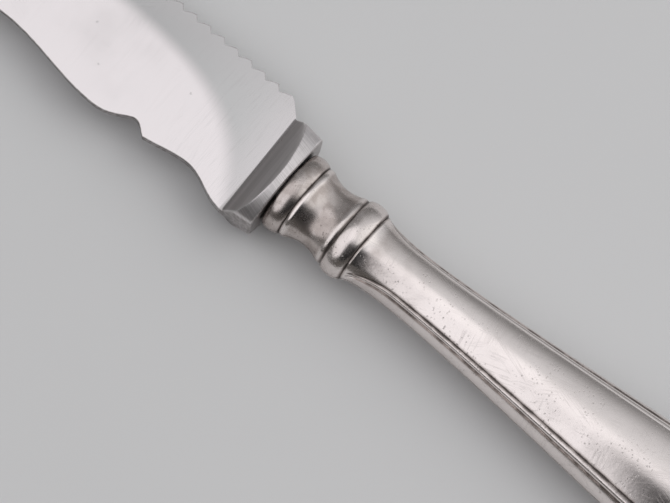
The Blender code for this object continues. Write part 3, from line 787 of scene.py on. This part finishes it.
def tang_bar():
    """The square bar that tapers from the bolster into the handle."""
    bm = bmesh.new()
    bmesh.ops.create_cube(bm, size=1)
    for vert in bm.verts:
        width, depth = TANG_END if vert.co.x > 0 else TANG_ROOT
        x = TANG_LENGTH if vert.co.x > 0 else BACK_OF_BOLSTER - BACK_BEVEL
        vert.co = (x, vert.co.y * width, vert.co.z * depth)
    return bm


def combine(body, steps):
    """A bmesh after Boolean steps of (operation, other bmesh)."""
    meshes = [body] + [other for _operation, other in steps]
    helpers = [link_mesh("boolean_step", bm) for bm in meshes]
    for (operation, _other), helper in zip(steps, helpers[1:]):
        modifier = helpers[0].modifiers.new(operation, "BOOLEAN")
        modifier.operation = operation
        modifier.solver = "EXACT"
        modifier.object = helper
    graph = bpy.context.evaluated_depsgraph_get()
    result = bmesh.new()
    result.from_mesh(helpers[0].evaluated_get(graph).to_mesh())
    for helper in helpers:
        mesh = helper.data
        bpy.data.objects.remove(helper)
        bpy.data.meshes.remove(mesh)
    return result


# Handle


def bead(start_x, length_x, start_width, crest_width, end_width):
    """Stations of a half-round bead, without its last one."""
    stations = []
    for step in range(BEAD_FACETS):
        angle = math.pi * step / BEAD_FACETS
        portion = (1 - math.cos(angle)) / 2
        rise = crest_width - (start_width + end_width) / 2
        width = mix(start_width, end_width, portion) + rise * math.sin(angle)
        stations.append((start_x + length_x * portion, width))
    return stations


def cove(start_x, length_x, start_width, floor_width, end_width):
    """Stations of a hollow between two fillets, without its last one."""
    stations = []
    for step in range(COVE_FACETS):
        portion = step / COVE_FACETS
        dip = (start_width + end_width) / 2 - floor_width
        width = mix(start_width, end_width, portion) - dip * 4 * portion * (1 - portion)
        stations.append((start_x + length_x * portion, width))
    return stations


def collar_stations():
    """Half-widths of the turned collar: bead, groove, fillet, cove, fillet, groove, bead, groove."""
    stations = bead(0, BEAD_1_LENGTH, MOUTH_HALF_WIDTH, BEAD_1_HALF_WIDTH, GROOVE_1_HALF_WIDTH)
    stations.append((BEAD_1_LENGTH, GROOVE_1_HALF_WIDTH))
    stations.append((FILLET_1_X, FILLET_1_HALF_WIDTH))
    stations += cove(COVE_X, COVE_LENGTH, FILLET_1_HALF_WIDTH, COVE_HALF_WIDTH, FILLET_2_HALF_WIDTH)
    stations.append((FILLET_2_X, FILLET_2_HALF_WIDTH))
    stations.append((GROOVE_2_X, FILLET_2_HALF_WIDTH))
    stations += bead(BEAD_2_X, BEAD_2_LENGTH, GROOVE_2_HALF_WIDTH, BEAD_2_HALF_WIDTH, GROOVE_3_HALF_WIDTH)
    stations.append((GROOVE_3_X, GROOVE_3_HALF_WIDTH))
    return [Vector((place, width, width * COLLAR_FLATNESS)) for place, width in stations]


def ease_corners(stations):
    """Stations with every corner cut once, both ends kept."""
    eased = [stations[0]]
    for start, end in zip(stations, stations[1:]):
        eased += [start.lerp(end, CORNER_CUT), start.lerp(end, 1 - CORNER_CUT)]
    return eased + [stations[-1]]


def body_stations(handle):
    """From the lip of the body over the slim neck and the flare to the rounded butt."""
    lip = Vector((COLLAR_LENGTH, LIP_HALF_WIDTH, LIP_HALF_WIDTH * COLLAR_FLATNESS))
    neck = Vector((NECK_X, handle.neck_half_width, handle.neck_half_depth))
    flare = Vector((BUTT_CENTRE_X, handle.flare_half_width, handle.belly_half_depth))
    end = Vector((HANDLE_LENGTH, 0, handle.belly_half_depth))
    lip_pull = lip.lerp(neck, SWEEP_LIP_DROP)
    lip_pull.x = lip.x + NECK_SWEEP * SWEEP_LIP_REACH
    neck_back_pull = neck - Vector((NECK_SWEEP * SWEEP_NECK_REACH, 0, 0))
    neck_pull = neck + Vector((FLARE_NECK_PULL, 0, 0))
    flare_pull = flare - Vector((FLARE_BUTT_PULL, FLARE_RISE, 0))
    shoulder = flare + Vector((BUTT_SHOULDER_PULL, BUTT_SHOULDER_PULL * FLARE_RISE / FLARE_BUTT_PULL, 0))
    round_end = end + Vector((0, BUTT_ROUNDNESS, 0))
    stations = curve_through(lip, lip_pull, neck_back_pull, neck, SWEEP_FACETS)
    stations += curve_through(neck, neck_pull, flare_pull, flare, FLARE_FACETS)
    stations += curve_through(flare, shoulder, round_end, end, BUTT_FACETS)
    return stations + [end]


def handle_stations(handle):
    return ease_corners(collar_stations()) + body_stations(handle)


def thread_angles(station):
    """Angles of the outer and inner groove, and how far their fan behind the collar has opened."""
    fan = min(max((station.x - COLLAR_LENGTH) / THREAD_FAN_LENGTH, 0), 1)
    spread = math.sin(fan * math.pi / 2)
    return mix(*OUTER_THREAD, spread), mix(*INNER_THREAD, spread), min(fan / THREAD_FADE_SHARE, 1)


def girth(handle, station):
    """Angles up from the seam and depths cut there, over a quarter of the section."""
    outer, inner, opened = thread_angles(station)
    cut = handle.thread_depth * opened
    rim = outer - handle.groove_wall / section_reach(handle, station, outer)
    face = inner + handle.groove_wall / section_reach(handle, station, inner)
    places = [(rim * (1 - (1 - step / RIM_FACETS) ** 2), 0) for step in range(RIM_FACETS)]
    for step in range(GROOVE_FACETS):
        portion = step / GROOVE_FACETS
        places.append((mix(rim, outer, portion), cut * (1 - (1 - portion) ** 2)))
    for step in range(BEAD_THREAD_FACETS):
        portion = 2 * step / BEAD_THREAD_FACETS - 1
        places.append((mix(outer, inner, step / BEAD_THREAD_FACETS), cut * portion * portion))
    for step in range(GROOVE_FACETS):
        portion = step / GROOVE_FACETS
        places.append((mix(inner, face, portion), cut * (1 - portion * portion)))
    places += [(mix(face, math.pi / 2, (step / FACE_FACETS) ** 2), 0) for step in range(FACE_FACETS + 1)]
    return places


def section_reach(handle, station, angle):
    """Metres along a section for each radian, at an angle up from the seam."""
    wide = max(station.y, handle.neck_half_width)
    return math.hypot(wide * math.sin(angle), station.z * math.cos(angle))


def handle_point(station, angle, cut, side):
    """A point of the handle: an ellipse for a section, which turns about one centre round the butt."""
    centre = Vector((min(station.x, BUTT_CENTRE_X), 0, 0))
    reach = Vector((station.x, station.y, 0)) - centre
    width = reach.length
    out = reach.normalized() if width > 0 else Vector((1, 0, 0))
    normal = Vector((math.cos(angle) * station.z, math.sin(angle) * width))
    if normal.length > 0:
        normal.normalize()
    place = centre + out * (width * math.cos(angle) - cut * normal.x)
    place.z = station.z * math.sin(angle) - cut * normal.y
    place.y *= side
    return place


def groove_tarnish(handle, station, angle, side):
    """Tarnish and painted shade in the border grooves and film on the rim, which differ between the sides of
    the handle.
    """
    outer, inner, opened = thread_angles(station)
    found = RIM_FILM[side] if angle < outer else 0
    for groove, (level, reach) in zip((outer, inner), THREAD_TARNISH_AND_SHADE[side]):
        away = abs(angle - groove) * section_reach(handle, station, groove)
        found = max(found, level * math.exp(-((away / reach) ** 2)))
    return found * opened


def tarnish_at(x):
    """Film, groove tarnish and painted shade at the mouth, at a place along the handle, from 0 to 1."""
    stains = (level * math.exp(-(((x - place) / reach) ** 2)) for place, reach, level in GROOVE_TARNISH_AND_MOUTH_SHADE)
    return max(across(HANDLE_FILM, x), *stains)


def handle_skin(handle):
    """The upper half of the handle's outside, open at the mouth and along the seam."""
    stations = handle_stations(handle)
    girths = [girth(handle, station) for station in stations]
    films = [tarnish_at(station.x) for station in stations]
    quarter = len(girths[0]) - 1
    around = 2 * quarter
    along = len(stations) - 1
    bm = bmesh.new()
    tarnish_and_shade = bm.verts.layers.float.new("tarnish_and_shade")
    bmesh.ops.create_grid(bm, x_segments=along, y_segments=around, size=0.5)
    for vert in bm.verts:
        row = round((vert.co.x + 0.5) * along)
        column = round((vert.co.y + 0.5) * around)
        side = 1 if column <= quarter else -1
        angle, cut = girths[row][min(column, around - column)]
        vert.co = handle_point(stations[row], angle, cut, side)
        # Tarnish, film and painted shade of the grooves and the mouth
        vert[tarnish_and_shade] = max(groove_tarnish(handle, stations[row], angle, side), films[row])
    bmesh.ops.remove_doubles(bm, verts=bm.verts, dist=MERGE_DISTANCE)
    bmesh.ops.recalc_face_normals(bm, faces=bm.faces)
    if max(bm.faces, key=lambda face: face.calc_center_median().z).normal.z < 0:
        bmesh.ops.reverse_faces(bm, faces=bm.faces)
    return bm


def keep_above(bm, height):
    bmesh.ops.bisect_plane(
        bm,
        geom=[*bm.verts, *bm.edges, *bm.faces],
        dist=MERGE_DISTANCE,
        plane_co=(0, 0, height),
        plane_no=(0, 0, 1),
        clear_inner=True,
    )


def stamped_shell(handle, roll):
    """One half of the handle with its wall, clear of the solder, turned to its side."""
    bm = handle_skin(handle)
    keep_above(bm, SEAM_HALF_GAP)
    bmesh.ops.solidify(bm, geom=bm.faces[:], thickness=handle.wall)
    for vert in bm.verts:
        vert.co.z = max(vert.co.z, SEAM_HALF_GAP)
    bmesh.ops.rotate(bm, cent=(0, 0, 0), matrix=Matrix.Rotation(roll, 3, "X"), verts=bm.verts)
    return bm


def seam_strip(handle):
    """The solder between the two halves: a thin flat strip round the rim of the handle."""
    stations = handle_stations(handle)
    rim = [handle_point(station, 0, SOLDER_INSET, 1) for station in stations]
    rim += [handle_point(station, 0, SOLDER_INSET, -1) for station in reversed(stations[:-1])]
    along = len(rim) - 1
    bm = bmesh.new()
    bmesh.ops.create_grid(bm, x_segments=along, y_segments=1, size=0.5)
    for vert in bm.verts:
        index = round((vert.co.x + 0.5) * along)
        before, after = rim[max(index - 1, 0)], rim[min(index + 1, along)]
        heading = (after - before).normalized()
        inward = Vector((heading.y, -heading.x, 0)) * handle.wall if vert.co.y < 0 else Vector()
        vert.co = rim[index] + inward
    thicken(bm, bm.faces[:], 2 * SOLDER_HALF_THICKNESS)
    bmesh.ops.translate(bm, vec=(0, 0, -SOLDER_HALF_THICKNESS), verts=bm.verts)
    return bm


# Finishes


class NodeBoard:
    """Adds nodes to one tree, each with its settings, its values and the sockets that feed it."""

    def __init__(self, tree):
        self.tree = tree

    def feed(self, socket, value):
        if isinstance(value, bpy.types.NodeSocket):
            self.tree.links.new(value, socket)
        else:
            socket.default_value = value

    def add(self, kind, feeds, output=0, **settings):
        made = self.tree.nodes.new(kind)
        for name, value in settings.items():
            setattr(made, name, value)
        for key, value in feeds.items():
            self.feed(made.inputs[key], value)
        return made.outputs[output]

    def math(self, operation, *feeds):
        return self.add("ShaderNodeMath", dict(enumerate(feeds)), operation=operation)

    def weigh(self, base, masks, weights):
        """A base value and masks summed, each by its named weight."""
        for name, weight in weights.items():
            base = self.math("MULTIPLY_ADD", masks[name], weight, base)
        return base

    def lift(self, mask, levels):
        """A level, and what a mask adds to it."""
        least, gain = levels
        return self.math("MULTIPLY_ADD", mask, gain, least)

    def attribute(self, name):
        return self.add("ShaderNodeAttribute", {}, output="Fac", attribute_name=name)

    def axes(self, vector):
        """A place taken apart into X, Y and Z."""
        parts = self.tree.nodes.new("ShaderNodeSeparateXYZ")
        self.feed(parts.inputs[0], vector)
        return parts.outputs

    def rise(self, value, low, high):
        """0 below low and 1 above high, eased between them."""
        feeds = {"Value": value, "From Min": low, "From Max": high}
        return self.add("ShaderNodeMapRange", feeds, interpolation_type="SMOOTHSTEP")

    def fall(self, value, low, high):
        """1 below low and 0 above high, eased between them."""
        return self.math("SUBTRACT", 1.0, self.rise(value, low, high))

    def blend(self, factor, first, second):
        return self.add("ShaderNodeMix", {0: factor, 6: first, 7: second}, output=2, data_type="RGBA")

    def noise(self, vector, sizes, turn=0.0, detail=2.0):
        """Noise with features of the given sizes in metres, turned about Z."""
        cells = self.add(
            "ShaderNodeMapping",
            {"Vector": vector, "Rotation": (0, 0, turn), "Scale": sizes},
            vector_type="TEXTURE",
        )
        return self.add("ShaderNodeTexNoise", {"Vector": cells, "Scale": 1.0, "Detail": detail}, output="Fac")

    def streaks(self, vector, kind):
        """A mask of the noise between two levels."""
        return self.rise(self.noise(vector, kind.sizes, kind.turn, kind.detail), kind.low, kind.high)

    def effect(self, make, vector, **values):
        """One of the shared effects with its own values."""
        made = self.tree.nodes.new("ShaderNodeGroup")
        made.node_tree = shared_effect(make)
        for name, value in {"Vector": vector, **values}.items():
            self.feed(made.inputs[name], value)
        return made.outputs["Mask"]


def effect_group(name, values):
    """An empty effect with a place and named values going in and a mask coming out."""
    tree = bpy.data.node_groups.new(name, "ShaderNodeTree")
    tree.interface.new_socket("Vector", in_out="INPUT", socket_type="NodeSocketVector")
    for label, default in values.items():
        socket = tree.interface.new_socket(label, in_out="INPUT", socket_type="NodeSocketFloat")
        socket.default_value = default
    tree.interface.new_socket("Mask", in_out="OUTPUT", socket_type="NodeSocketFloat")
    inputs = tree.nodes.new("NodeGroupInput").outputs
    mask = tree.nodes.new("NodeGroupOutput").inputs["Mask"]
    return NodeBoard(tree), inputs, mask


def scaled_place(board, inputs):
    feeds = {0: inputs["Vector"], "Scale": inputs["Scale"]}
    return board.add("ShaderNodeVectorMath", feeds, operation="SCALE")


def hairline_scratches():
    """Thin broken lines in a few directions."""
    board, inputs, mask = effect_group("hairline_scratches", {"Scale": 1.0, "Width": 0.02, "Cover": 0.5})
    place = scaled_place(board, inputs)
    found = 0.0
    for angle in SCRATCH_TURNS:
        wander = board.noise(place, SCRATCH_CELL, angle, SCRATCH_DETAIL)
        off_line = board.math("ABSOLUTE", board.math("SUBTRACT", wander, NOISE_MIDDLE))
        line = board.fall(off_line, 0.0, inputs["Width"])
        patch = board.noise(place, SCRATCH_PATCH, -angle, SCRATCH_DETAIL)
        patch = board.rise(patch, inputs["Cover"], board.math("ADD", inputs["Cover"], SCRATCH_FADE))
        found = board.math("MAXIMUM", found, board.math("MULTIPLY", line, patch))
    board.feed(mask, found)
    return board.tree


def small_pits():
    """Scattered specks of uneven outline."""
    board, inputs, mask = effect_group("small_pits", {"Scale": 1.0, "Radius": 0.2, "Share": 0.1})
    place = scaled_place(board, inputs)
    ragged_feeds = {"Vector": place, "Scale": 1.0 / PIT_RAGGED_CELL}
    ragged = board.add("ShaderNodeTexNoise", ragged_feeds, output="Color")
    ragged = board.add("ShaderNodeVectorMath", {0: ragged, "Scale": PIT_RAGGEDNESS}, operation="SCALE")
    strayed = board.add("ShaderNodeVectorMath", {0: place, 1: ragged}, operation="ADD")
    cells = board.tree.nodes.new("ShaderNodeTexVoronoi")
    board.feed(cells.inputs["Vector"], strayed)
    board.feed(cells.inputs["Scale"], 1.0 / PIT_CELL)
    draw = board.add("ShaderNodeSeparateColor", {0: cells.outputs["Color"]})
    kept = board.math("LESS_THAN", draw, inputs["Share"])
    core = board.math("MULTIPLY", inputs["Radius"], PIT_CORE)
    spot = board.fall(cells.outputs["Distance"], core, inputs["Radius"])
    board.feed(mask, board.math("MULTIPLY", spot, kept))
    return board.tree


def cloudy_film():
    """Soft patches of uneven film."""
    board, inputs, mask = effect_group("cloudy_film", {"Scale": 1.0, "Low": 0.4, "High": 0.7})
    place = scaled_place(board, inputs)
    clouds = board.noise(place, FILM_CELL, detail=FILM_DETAIL)
    board.feed(mask, board.rise(clouds, inputs["Low"], inputs["High"]))
    return board.tree


def shared_effect(make):
    """An effect's group, made on its first use."""
    return bpy.data.node_groups.get(make.__name__) or make()


def start_material(name):
    """A material with its board, its shader and the place on the piece."""
    material = bpy.data.materials.new(name)
    material.use_nodes = True
    board = NodeBoard(material.node_tree)
    shader = material.node_tree.nodes["Principled BSDF"]
    place = board.add("ShaderNodeTexCoord", {}, output="Object")
    return material, board, shader.inputs, place


def add_relief(board, shader, height, depth):
    feeds = {"Height": height, "Strength": 1.0, "Distance": depth}
    board.feed(shader["Normal"], board.add("ShaderNodeBump", feeds, output="Normal"))


def steel_material(finish):
    """Steel ground across the blade, with a brushed crown and a grey film."""
    material, board, shader, place = start_material("blade_steel")
    x = board.axes(place)["X"]
    back_x = KNIFE_AXES.x + BACK_OF_BOLSTER
    foot_x = back_x - DISH_FOOT[0]
    heel_x = foot_x - HEEL_LINES_REACH
    rim, crown, ground = (board.attribute(name) for name in BLADE_FINISHES)
    bolster = board.rise(x, foot_x - BLEND_LENGTH, foot_x)
    dish = board.math("MULTIPLY", bolster, board.math("SUBTRACT", 1.0, crown))
    heel = board.rise(x, heel_x - HEEL_LINES_REACH, heel_x)
    root = board.rise(x, heel_x, foot_x)
    # Painted shade on the bolster's back bevel, in the gap at the handle's mouth
    gap = board.rise(x, back_x - BACK_BEVEL, back_x - BACK_BEVEL * GAP_DARK_SHARE)
    lines = board.streaks(place, BLADE_LINES)
    stripes = board.streaks(place, DISH_STRIPES)
    masks = {
        "crown": crown,
        "dish": dish,
        "grain": board.noise(place, BLADE_GRAIN, detail=GRAIN_DETAIL),
        "lines": board.math("MULTIPLY", lines, board.lift(heel, LINES_BY_HEEL)),
        "brushed": board.math("MULTIPLY", crown, board.streaks(place, CROWN_GRAIN)),
        "streaked": board.math("MULTIPLY", dish, board.lift(stripes, STREAKS_BY_STRIPE)),
        "film": board.effect(cloudy_film, place, Scale=0.6, Low=0.45, High=0.8),
        "scratches": board.effect(hairline_scratches, place, Scale=0.8, Width=0.02, Cover=0.6),
        "pits": board.effect(small_pits, place, Scale=0.7, Radius=0.22, Share=0.03),
    }
    bevel = board.math("MULTIPLY", board.rise(ground, 0.0, BEVEL_START), board.lift(ground, BEVEL_BY_GROUND))
    bevel = board.math("MULTIPLY", bevel, board.lift(root, BEVEL_BY_ROOT))
    tint = board.blend(bevel, (*finish.steel, 1), (*finish.steel_bevel, 1))
    stain = board.math("MINIMUM", board.weigh(0.0, masks, STEEL_STAIN), 1.0)
    tint = board.blend(stain, tint, (*finish.steel_stain, 1))
    # Grime and painted shade on the spine's wall, the bolster's end and the teeth, broken by streaks, with
    # painted shade in the gap, in the tarnish colour
    rim = board.math("MULTIPLY", rim, board.lift(board.streaks(place, RIM_STREAKS), RIM_BY_STREAKS))
    shade_and_grime = board.math("MAXIMUM", board.math("MULTIPLY", gap, GAP_SHADE), rim)
    board.feed(shader["Base Color"], board.blend(shade_and_grime, tint, (*finish.silver_tarnish, 1)))
    shader["Metallic"].default_value = 1
    board.feed(shader["Roughness"], board.weigh(finish.steel_roughness, masks, STEEL_DULLNESS))
    add_relief(board, shader, board.weigh(0.0, masks, STEEL_HEIGHT), STEEL_RELIEF)
    return material


def silver_material(finish):
    """Polished silver with soft waves, hairlines, pits, tarnish in its grooves and painted shade at the mouth
    and in the border grooves.
    """
    material, board, shader, place = start_material("handle_silver")
    blotches = board.effect(cloudy_film, place, Scale=3.5, Low=0.35, High=0.7)
    worn = board.effect(cloudy_film, place, Scale=1.6, Low=0.44, High=0.6)
    pits = board.effect(small_pits, place, Scale=1.6, Radius=0.36, Share=0.5)
    warm = board.math("MULTIPLY", board.attribute("tarnish_and_shade"), board.lift(blotches, WARMTH_BY_BLOTCH))
    masks = {
        "blotches": blotches,
        "warm": warm,
        # Dark tarnish and painted shade
        "tarnished_and_shaded": board.rise(warm, *TARNISH_AND_SHADE_RANGE),
        "pits": board.math("MULTIPLY", pits, board.lift(worn, PITS_BY_WEAR)),
        "dents": board.noise(place, DENT_CELL),
        "film": board.effect(cloudy_film, place, Scale=1.0, Low=0.4, High=0.75),
        "waves": board.effect(cloudy_film, place, Scale=0.9, Low=0.0, High=1.0),
        "scratches": board.effect(hairline_scratches, place, Scale=1.0, Width=0.05, Cover=0.52),
    }
    coated = board.math("MINIMUM", board.weigh(0.0, masks, SILVER_COAT), 1.0)
    tint = board.blend(coated, (*finish.silver, 1), (*finish.silver_film, 1))
    tint = board.blend(board.weigh(0.0, masks, SILVER_DARK), tint, (*finish.silver_tarnish, 1))
    board.feed(shader["Base Color"], tint)
    shader["Metallic"].default_value = 1
    board.feed(shader["Roughness"], board.weigh(finish.silver_roughness, masks, SILVER_DULLNESS))
    add_relief(board, shader, board.weigh(0.0, masks, SILVER_HEIGHT), SILVER_RELIEF)
    return material


def solder_material(finish):
    """Filed silver solder, a little duller than the silver."""
    material, board, shader, place = start_material("seam_solder")
    film = board.effect(cloudy_film, place, Scale=2.0, Low=0.35, High=0.7)
    board.feed(shader["Base Color"], board.blend(film, (*finish.solder, 1), (*finish.silver_tarnish, 1)))
    shader["Metallic"].default_value = 1
    board.feed(shader["Roughness"], board.lift(film, SOLDER_DULLNESS))
    return material


def cement_material(finish):
    """Dull resin cement with darker grains."""
    material, board, shader, place = start_material("filling_cement")
    masks = {
        "film": board.effect(cloudy_film, place, Scale=2.0, Low=0.3, High=0.7),
        "pits": board.effect(small_pits, place, Scale=1.0, Radius=0.45, Share=0.4),
    }
    shade = tuple(CEMENT_SHADE * value for value in finish.cement)
    board.feed(shader["Base Color"], board.blend(masks["film"], (*finish.cement, 1), (*shade, 1)))
    board.feed(shader["Roughness"], board.lift(masks["pits"], CEMENT_DULLNESS))
    add_relief(board, shader, board.weigh(0.0, masks, CEMENT_HEIGHT), CEMENT_RELIEF)
    return material


def floor_material(stage):
    """Smooth pale paper."""
    material, board, shader, place = start_material("floor_paper")
    tone = board.noise(place, FLOOR_CELL, detail=FLOOR_DETAIL)
    shade = tuple(FLOOR_SHADE * value for value in stage.floor)
    board.feed(shader["Base Color"], board.blend(tone, (*stage.floor, 1), (*shade, 1)))
    shader["Roughness"].default_value = FLOOR_ROUGHNESS
    shader["Specular IOR Level"].default_value = FLOOR_SPECULAR
    return material


# Stage


def room_axes(lean):
    """Right, far and outward ways of something leaned from overhead in the turned room."""
    right, far = (math.radians(angle) for angle in lean)
    tilt = math.hypot(right, far)
    axis = Vector((-far, right, 0)) if tilt > 0 else Vector((1, 0, 0))
    turned = Matrix.Rotation(ROOM_TURN, 3, "Z") @ Matrix.Rotation(tilt, 3, axis)
    return turned.col[0], turned.col[1], turned.col[2]


def on_card(board, way, side, outward, reach, softness):
    """1 on a card and 0 beside it, by the angle across one of its sides."""
    sideways, ahead = (
        board.add("ShaderNodeVectorMath", {0: way, 1: axis}, output="Value", operation="DOT_PRODUCT")
        for axis in (side, outward)
    )
    angle = board.math("DEGREES", board.math("ARCTAN2", sideways, ahead))
    return board.fall(board.math("ABSOLUTE", angle), reach - softness, reach + softness)


def light_room(stage):
    """A soft grey room with pale and dark cards round the knife."""
    world = bpy.data.worlds.new("soft_room")
    world.use_nodes = True
    board = NodeBoard(world.node_tree)
    way = board.add("ShaderNodeTexCoord", {}, output="Generated")
    light = (*ROOM_GREY, 1)
    for card in ROOM_CARDS:
        right, far, outward = room_axes(card.lean)
        within = board.math(
            "MULTIPLY",
            on_card(board, way, right, outward, card.reach[0], card.softness),
            on_card(board, way, far, outward, card.reach[1], card.softness),
        )
        light = board.blend(within, light, (*card.light, 1))
    background = world.node_tree.nodes["Background"].inputs
    board.feed(background["Color"], light)
    background["Strength"].default_value = stage.room
    bpy.context.scene.world = world


def hang_lamp(stage):
    data = bpy.data.lights.new("soft_lamp", "AREA")
    data.shape = "SQUARE"
    data.size = stage.lamp_width
    data.energy = stage.lamp_power
    lamp = bpy.data.objects.new("soft_lamp", data)
    towards = room_axes(LAMP_LEAN)[2]
    heading = towards.to_track_quat("Z", "Y").to_matrix().to_4x4()
    lamp.matrix_world = Matrix.Translation(towards * LAMP_DISTANCE) @ heading
    lamp.visible_glossy = False
    bpy.context.scene.collection.objects.link(lamp)


def flag_material(name, flag):
    """Black cloth that thins out towards two of its sides."""
    material, board, shader, place = start_material(name)
    from_mouth = board.add("ShaderNodeVectorMath", {0: place, 1: KNIFE_AXES}, operation="SUBTRACT")
    axes = board.axes(from_mouth)
    side, side_softness = flag.side_edge
    far, far_softness = flag.far_edge
    inside = board.rise(axes["X"], side - side_softness, side + side_softness)
    nearer = board.fall(axes["Y"], far - far_softness, far + far_softness)
    cover = board.math("MULTIPLY", board.math("MULTIPLY", inside, nearer), FLAG_STRENGTH)
    board.feed(shader["Alpha"], cover)
    shader["Base Color"].default_value = (*FLAG_COLOUR, 1)
    shader["Roughness"].default_value = 1
    return material


def hang_flag(name, flag):
    """A dark cloth that only shows as a reflection."""
    low, high = Vector(flag.low), Vector(flag.high)
    bm = bmesh.new()
    bmesh.ops.create_grid(bm, x_segments=1, y_segments=1, size=0.5)
    bmesh.ops.scale(bm, vec=high - low, verts=bm.verts)
    bmesh.ops.translate(bm, vec=KNIFE_AXES + (low + high) / 2, verts=bm.verts)
    cloth = link_mesh(name, bm)
    cloth.data.materials.append(flag_material(name, flag))
    for ray in ("camera", "diffuse", "shadow", "transmission"):
        setattr(cloth, f"visible_{ray}", False)


def set_camera(stage):
    """A camera at the photograph's viewing angle."""
    azimuth, elevation = stage.camera_azimuth, stage.camera_elevation
    level = math.cos(elevation)
    back = Vector((math.sin(azimuth) * level, -math.cos(azimuth) * level, math.sin(elevation)))
    lean = Matrix.Rotation(stage.camera_lean, 3, "X")
    heading = lean @ (-back).to_track_quat("-Z", "Y").to_matrix()
    place = KNIFE_AXES + Vector(CAMERA_TARGET) + lean @ back * stage.camera_distance
    data = bpy.data.cameras.new("photo_camera")
    data.lens = stage.camera_lens
    data.sensor_width = CAMERA_SENSOR
    camera = bpy.data.objects.new("photo_camera", data)
    camera.matrix_world = Matrix.Translation(place) @ heading.to_4x4()
    bpy.context.scene.collection.objects.link(camera)
    bpy.context.scene.camera = camera


def lay_floor(stage):
    bm = bmesh.new()
    bmesh.ops.create_circle(bm, cap_ends=True, segments=FLOOR_SEGMENTS, radius=FLOOR_RADIUS)
    bmesh.ops.translate(bm, vec=(0, 0, CAD_BOX[0].z - FLOOR_GAP), verts=bm.verts)
    bmesh.ops.recalc_face_normals(bm, faces=bm.faces)
    floor = link_mesh("floor", bm)
    floor.data.materials.append(floor_material(stage))


# Operators


class TOMATOKNIFE_OT_blade(Operator):
    """Make the blade with its teeth, fork, bolster and tang"""

    bl_idname = "tomato_knife.blade"
    bl_label = "Blade"

    def execute(self, context):
        blade = context.scene.tomato_knife_blade
        steps = (("DIFFERENCE", fork_cutter(blade)), ("UNION", tang_bar()))
        body = combine(blade_body(blade), steps)
        steel = steel_material(context.scene.tomato_knife_finish)
        add_piece("knife_blade", body, steel, "blade", slot="blade_steel")
        return {"FINISHED"}


class TOMATOKNIFE_OT_handle_shells(Operator):
    """Make the two stamped silver halves of the handle"""

    bl_idname = "tomato_knife.handle_shells"
    bl_label = "Handle shells"

    def execute(self, context):
        handle = context.scene.tomato_knife_handle
        silver = silver_material(context.scene.tomato_knife_finish)
        for name, node, roll in SHELLS:
            add_piece(name, stamped_shell(handle, roll), silver, node, slot="handle_silver")
        return {"FINISHED"}


class TOMATOKNIFE_OT_seam(Operator):
    """Make the strip of solder between the halves of the handle"""

    bl_idname = "tomato_knife.seam"
    bl_label = "Seam solder"

    def execute(self, context):
        solder = solder_material(context.scene.tomato_knife_finish)
        strip = seam_strip(context.scene.tomato_knife_handle)
        add_piece("seam_strip", strip, solder, "handle_seam_solder", slot="seam_solder")
        return {"FINISHED"}


class TOMATOKNIFE_OT_cement(Operator):
    """Finish the cement that fills the handle"""

    bl_idname = "tomato_knife.cement"
    bl_label = "Cement filling"

    def execute(self, context):
        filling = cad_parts["handle_cement"]
        filling.data.materials.clear()
        filling.data.materials.append(cement_material(context.scene.tomato_knife_finish))
        return {"FINISHED"}


class TOMATOKNIFE_OT_stage(Operator):
    """Set the pale floor, the soft light and the camera"""

    bl_idname = "tomato_knife.stage"
    bl_label = "Stage"

    def execute(self, context):
        stage = context.scene.tomato_knife_stage
        lay_floor(stage)
        light_room(stage)
        hang_lamp(stage)
        for name, flag in DARK_FLAGS.items():
            hang_flag(name, flag)
        set_camera(stage)
        context.scene.view_settings.view_transform = "Standard"
        return {"FINISHED"}


class TOMATOKNIFE_PT_sidebar(Panel):
    """Lists the sizes, the finishes and the pieces of the knife"""

    bl_idname = "TOMATOKNIFE_PT_sidebar"
    bl_label = "Tomato Knife"
    bl_space_type = "VIEW_3D"
    bl_region_type = "UI"
    bl_category = "Tomato Knife"

    def draw(self, context):
        for name, group in GROUPS.items():
            box = self.layout.box()
            for setting in group.__annotations__:
                box.prop(getattr(context.scene, name), setting)
        for operator in OPERATORS:
            self.layout.operator(operator.bl_idname)


GROUPS = {
    "tomato_knife_blade": TomatoKnifeBlade,
    "tomato_knife_handle": TomatoKnifeHandle,
    "tomato_knife_finish": TomatoKnifeFinish,
    "tomato_knife_stage": TomatoKnifeStage,
}
OPERATORS = (
    TOMATOKNIFE_OT_blade,
    TOMATOKNIFE_OT_handle_shells,
    TOMATOKNIFE_OT_seam,
    TOMATOKNIFE_OT_cement,
    TOMATOKNIFE_OT_stage,
)


def register():
    for made in (*GROUPS.values(), *OPERATORS, TOMATOKNIFE_PT_sidebar):
        bpy.utils.register_class(made)
    for name, group in GROUPS.items():
        setattr(bpy.types.Scene, name, PointerProperty(type=group))


def unregister():
    for name in GROUPS:
        delattr(bpy.types.Scene, name)
    for made in (TOMATOKNIFE_PT_sidebar, *reversed(OPERATORS), *reversed(GROUPS.values())):
        bpy.utils.unregister_class(made)


def main():
    register()
    bpy.ops.tomato_knife.stage()
    bpy.ops.tomato_knife.blade()
    bpy.ops.tomato_knife.handle_shells()
    bpy.ops.tomato_knife.seam()
    bpy.ops.tomato_knife.cement()


if __name__ == "__main__":
    main()
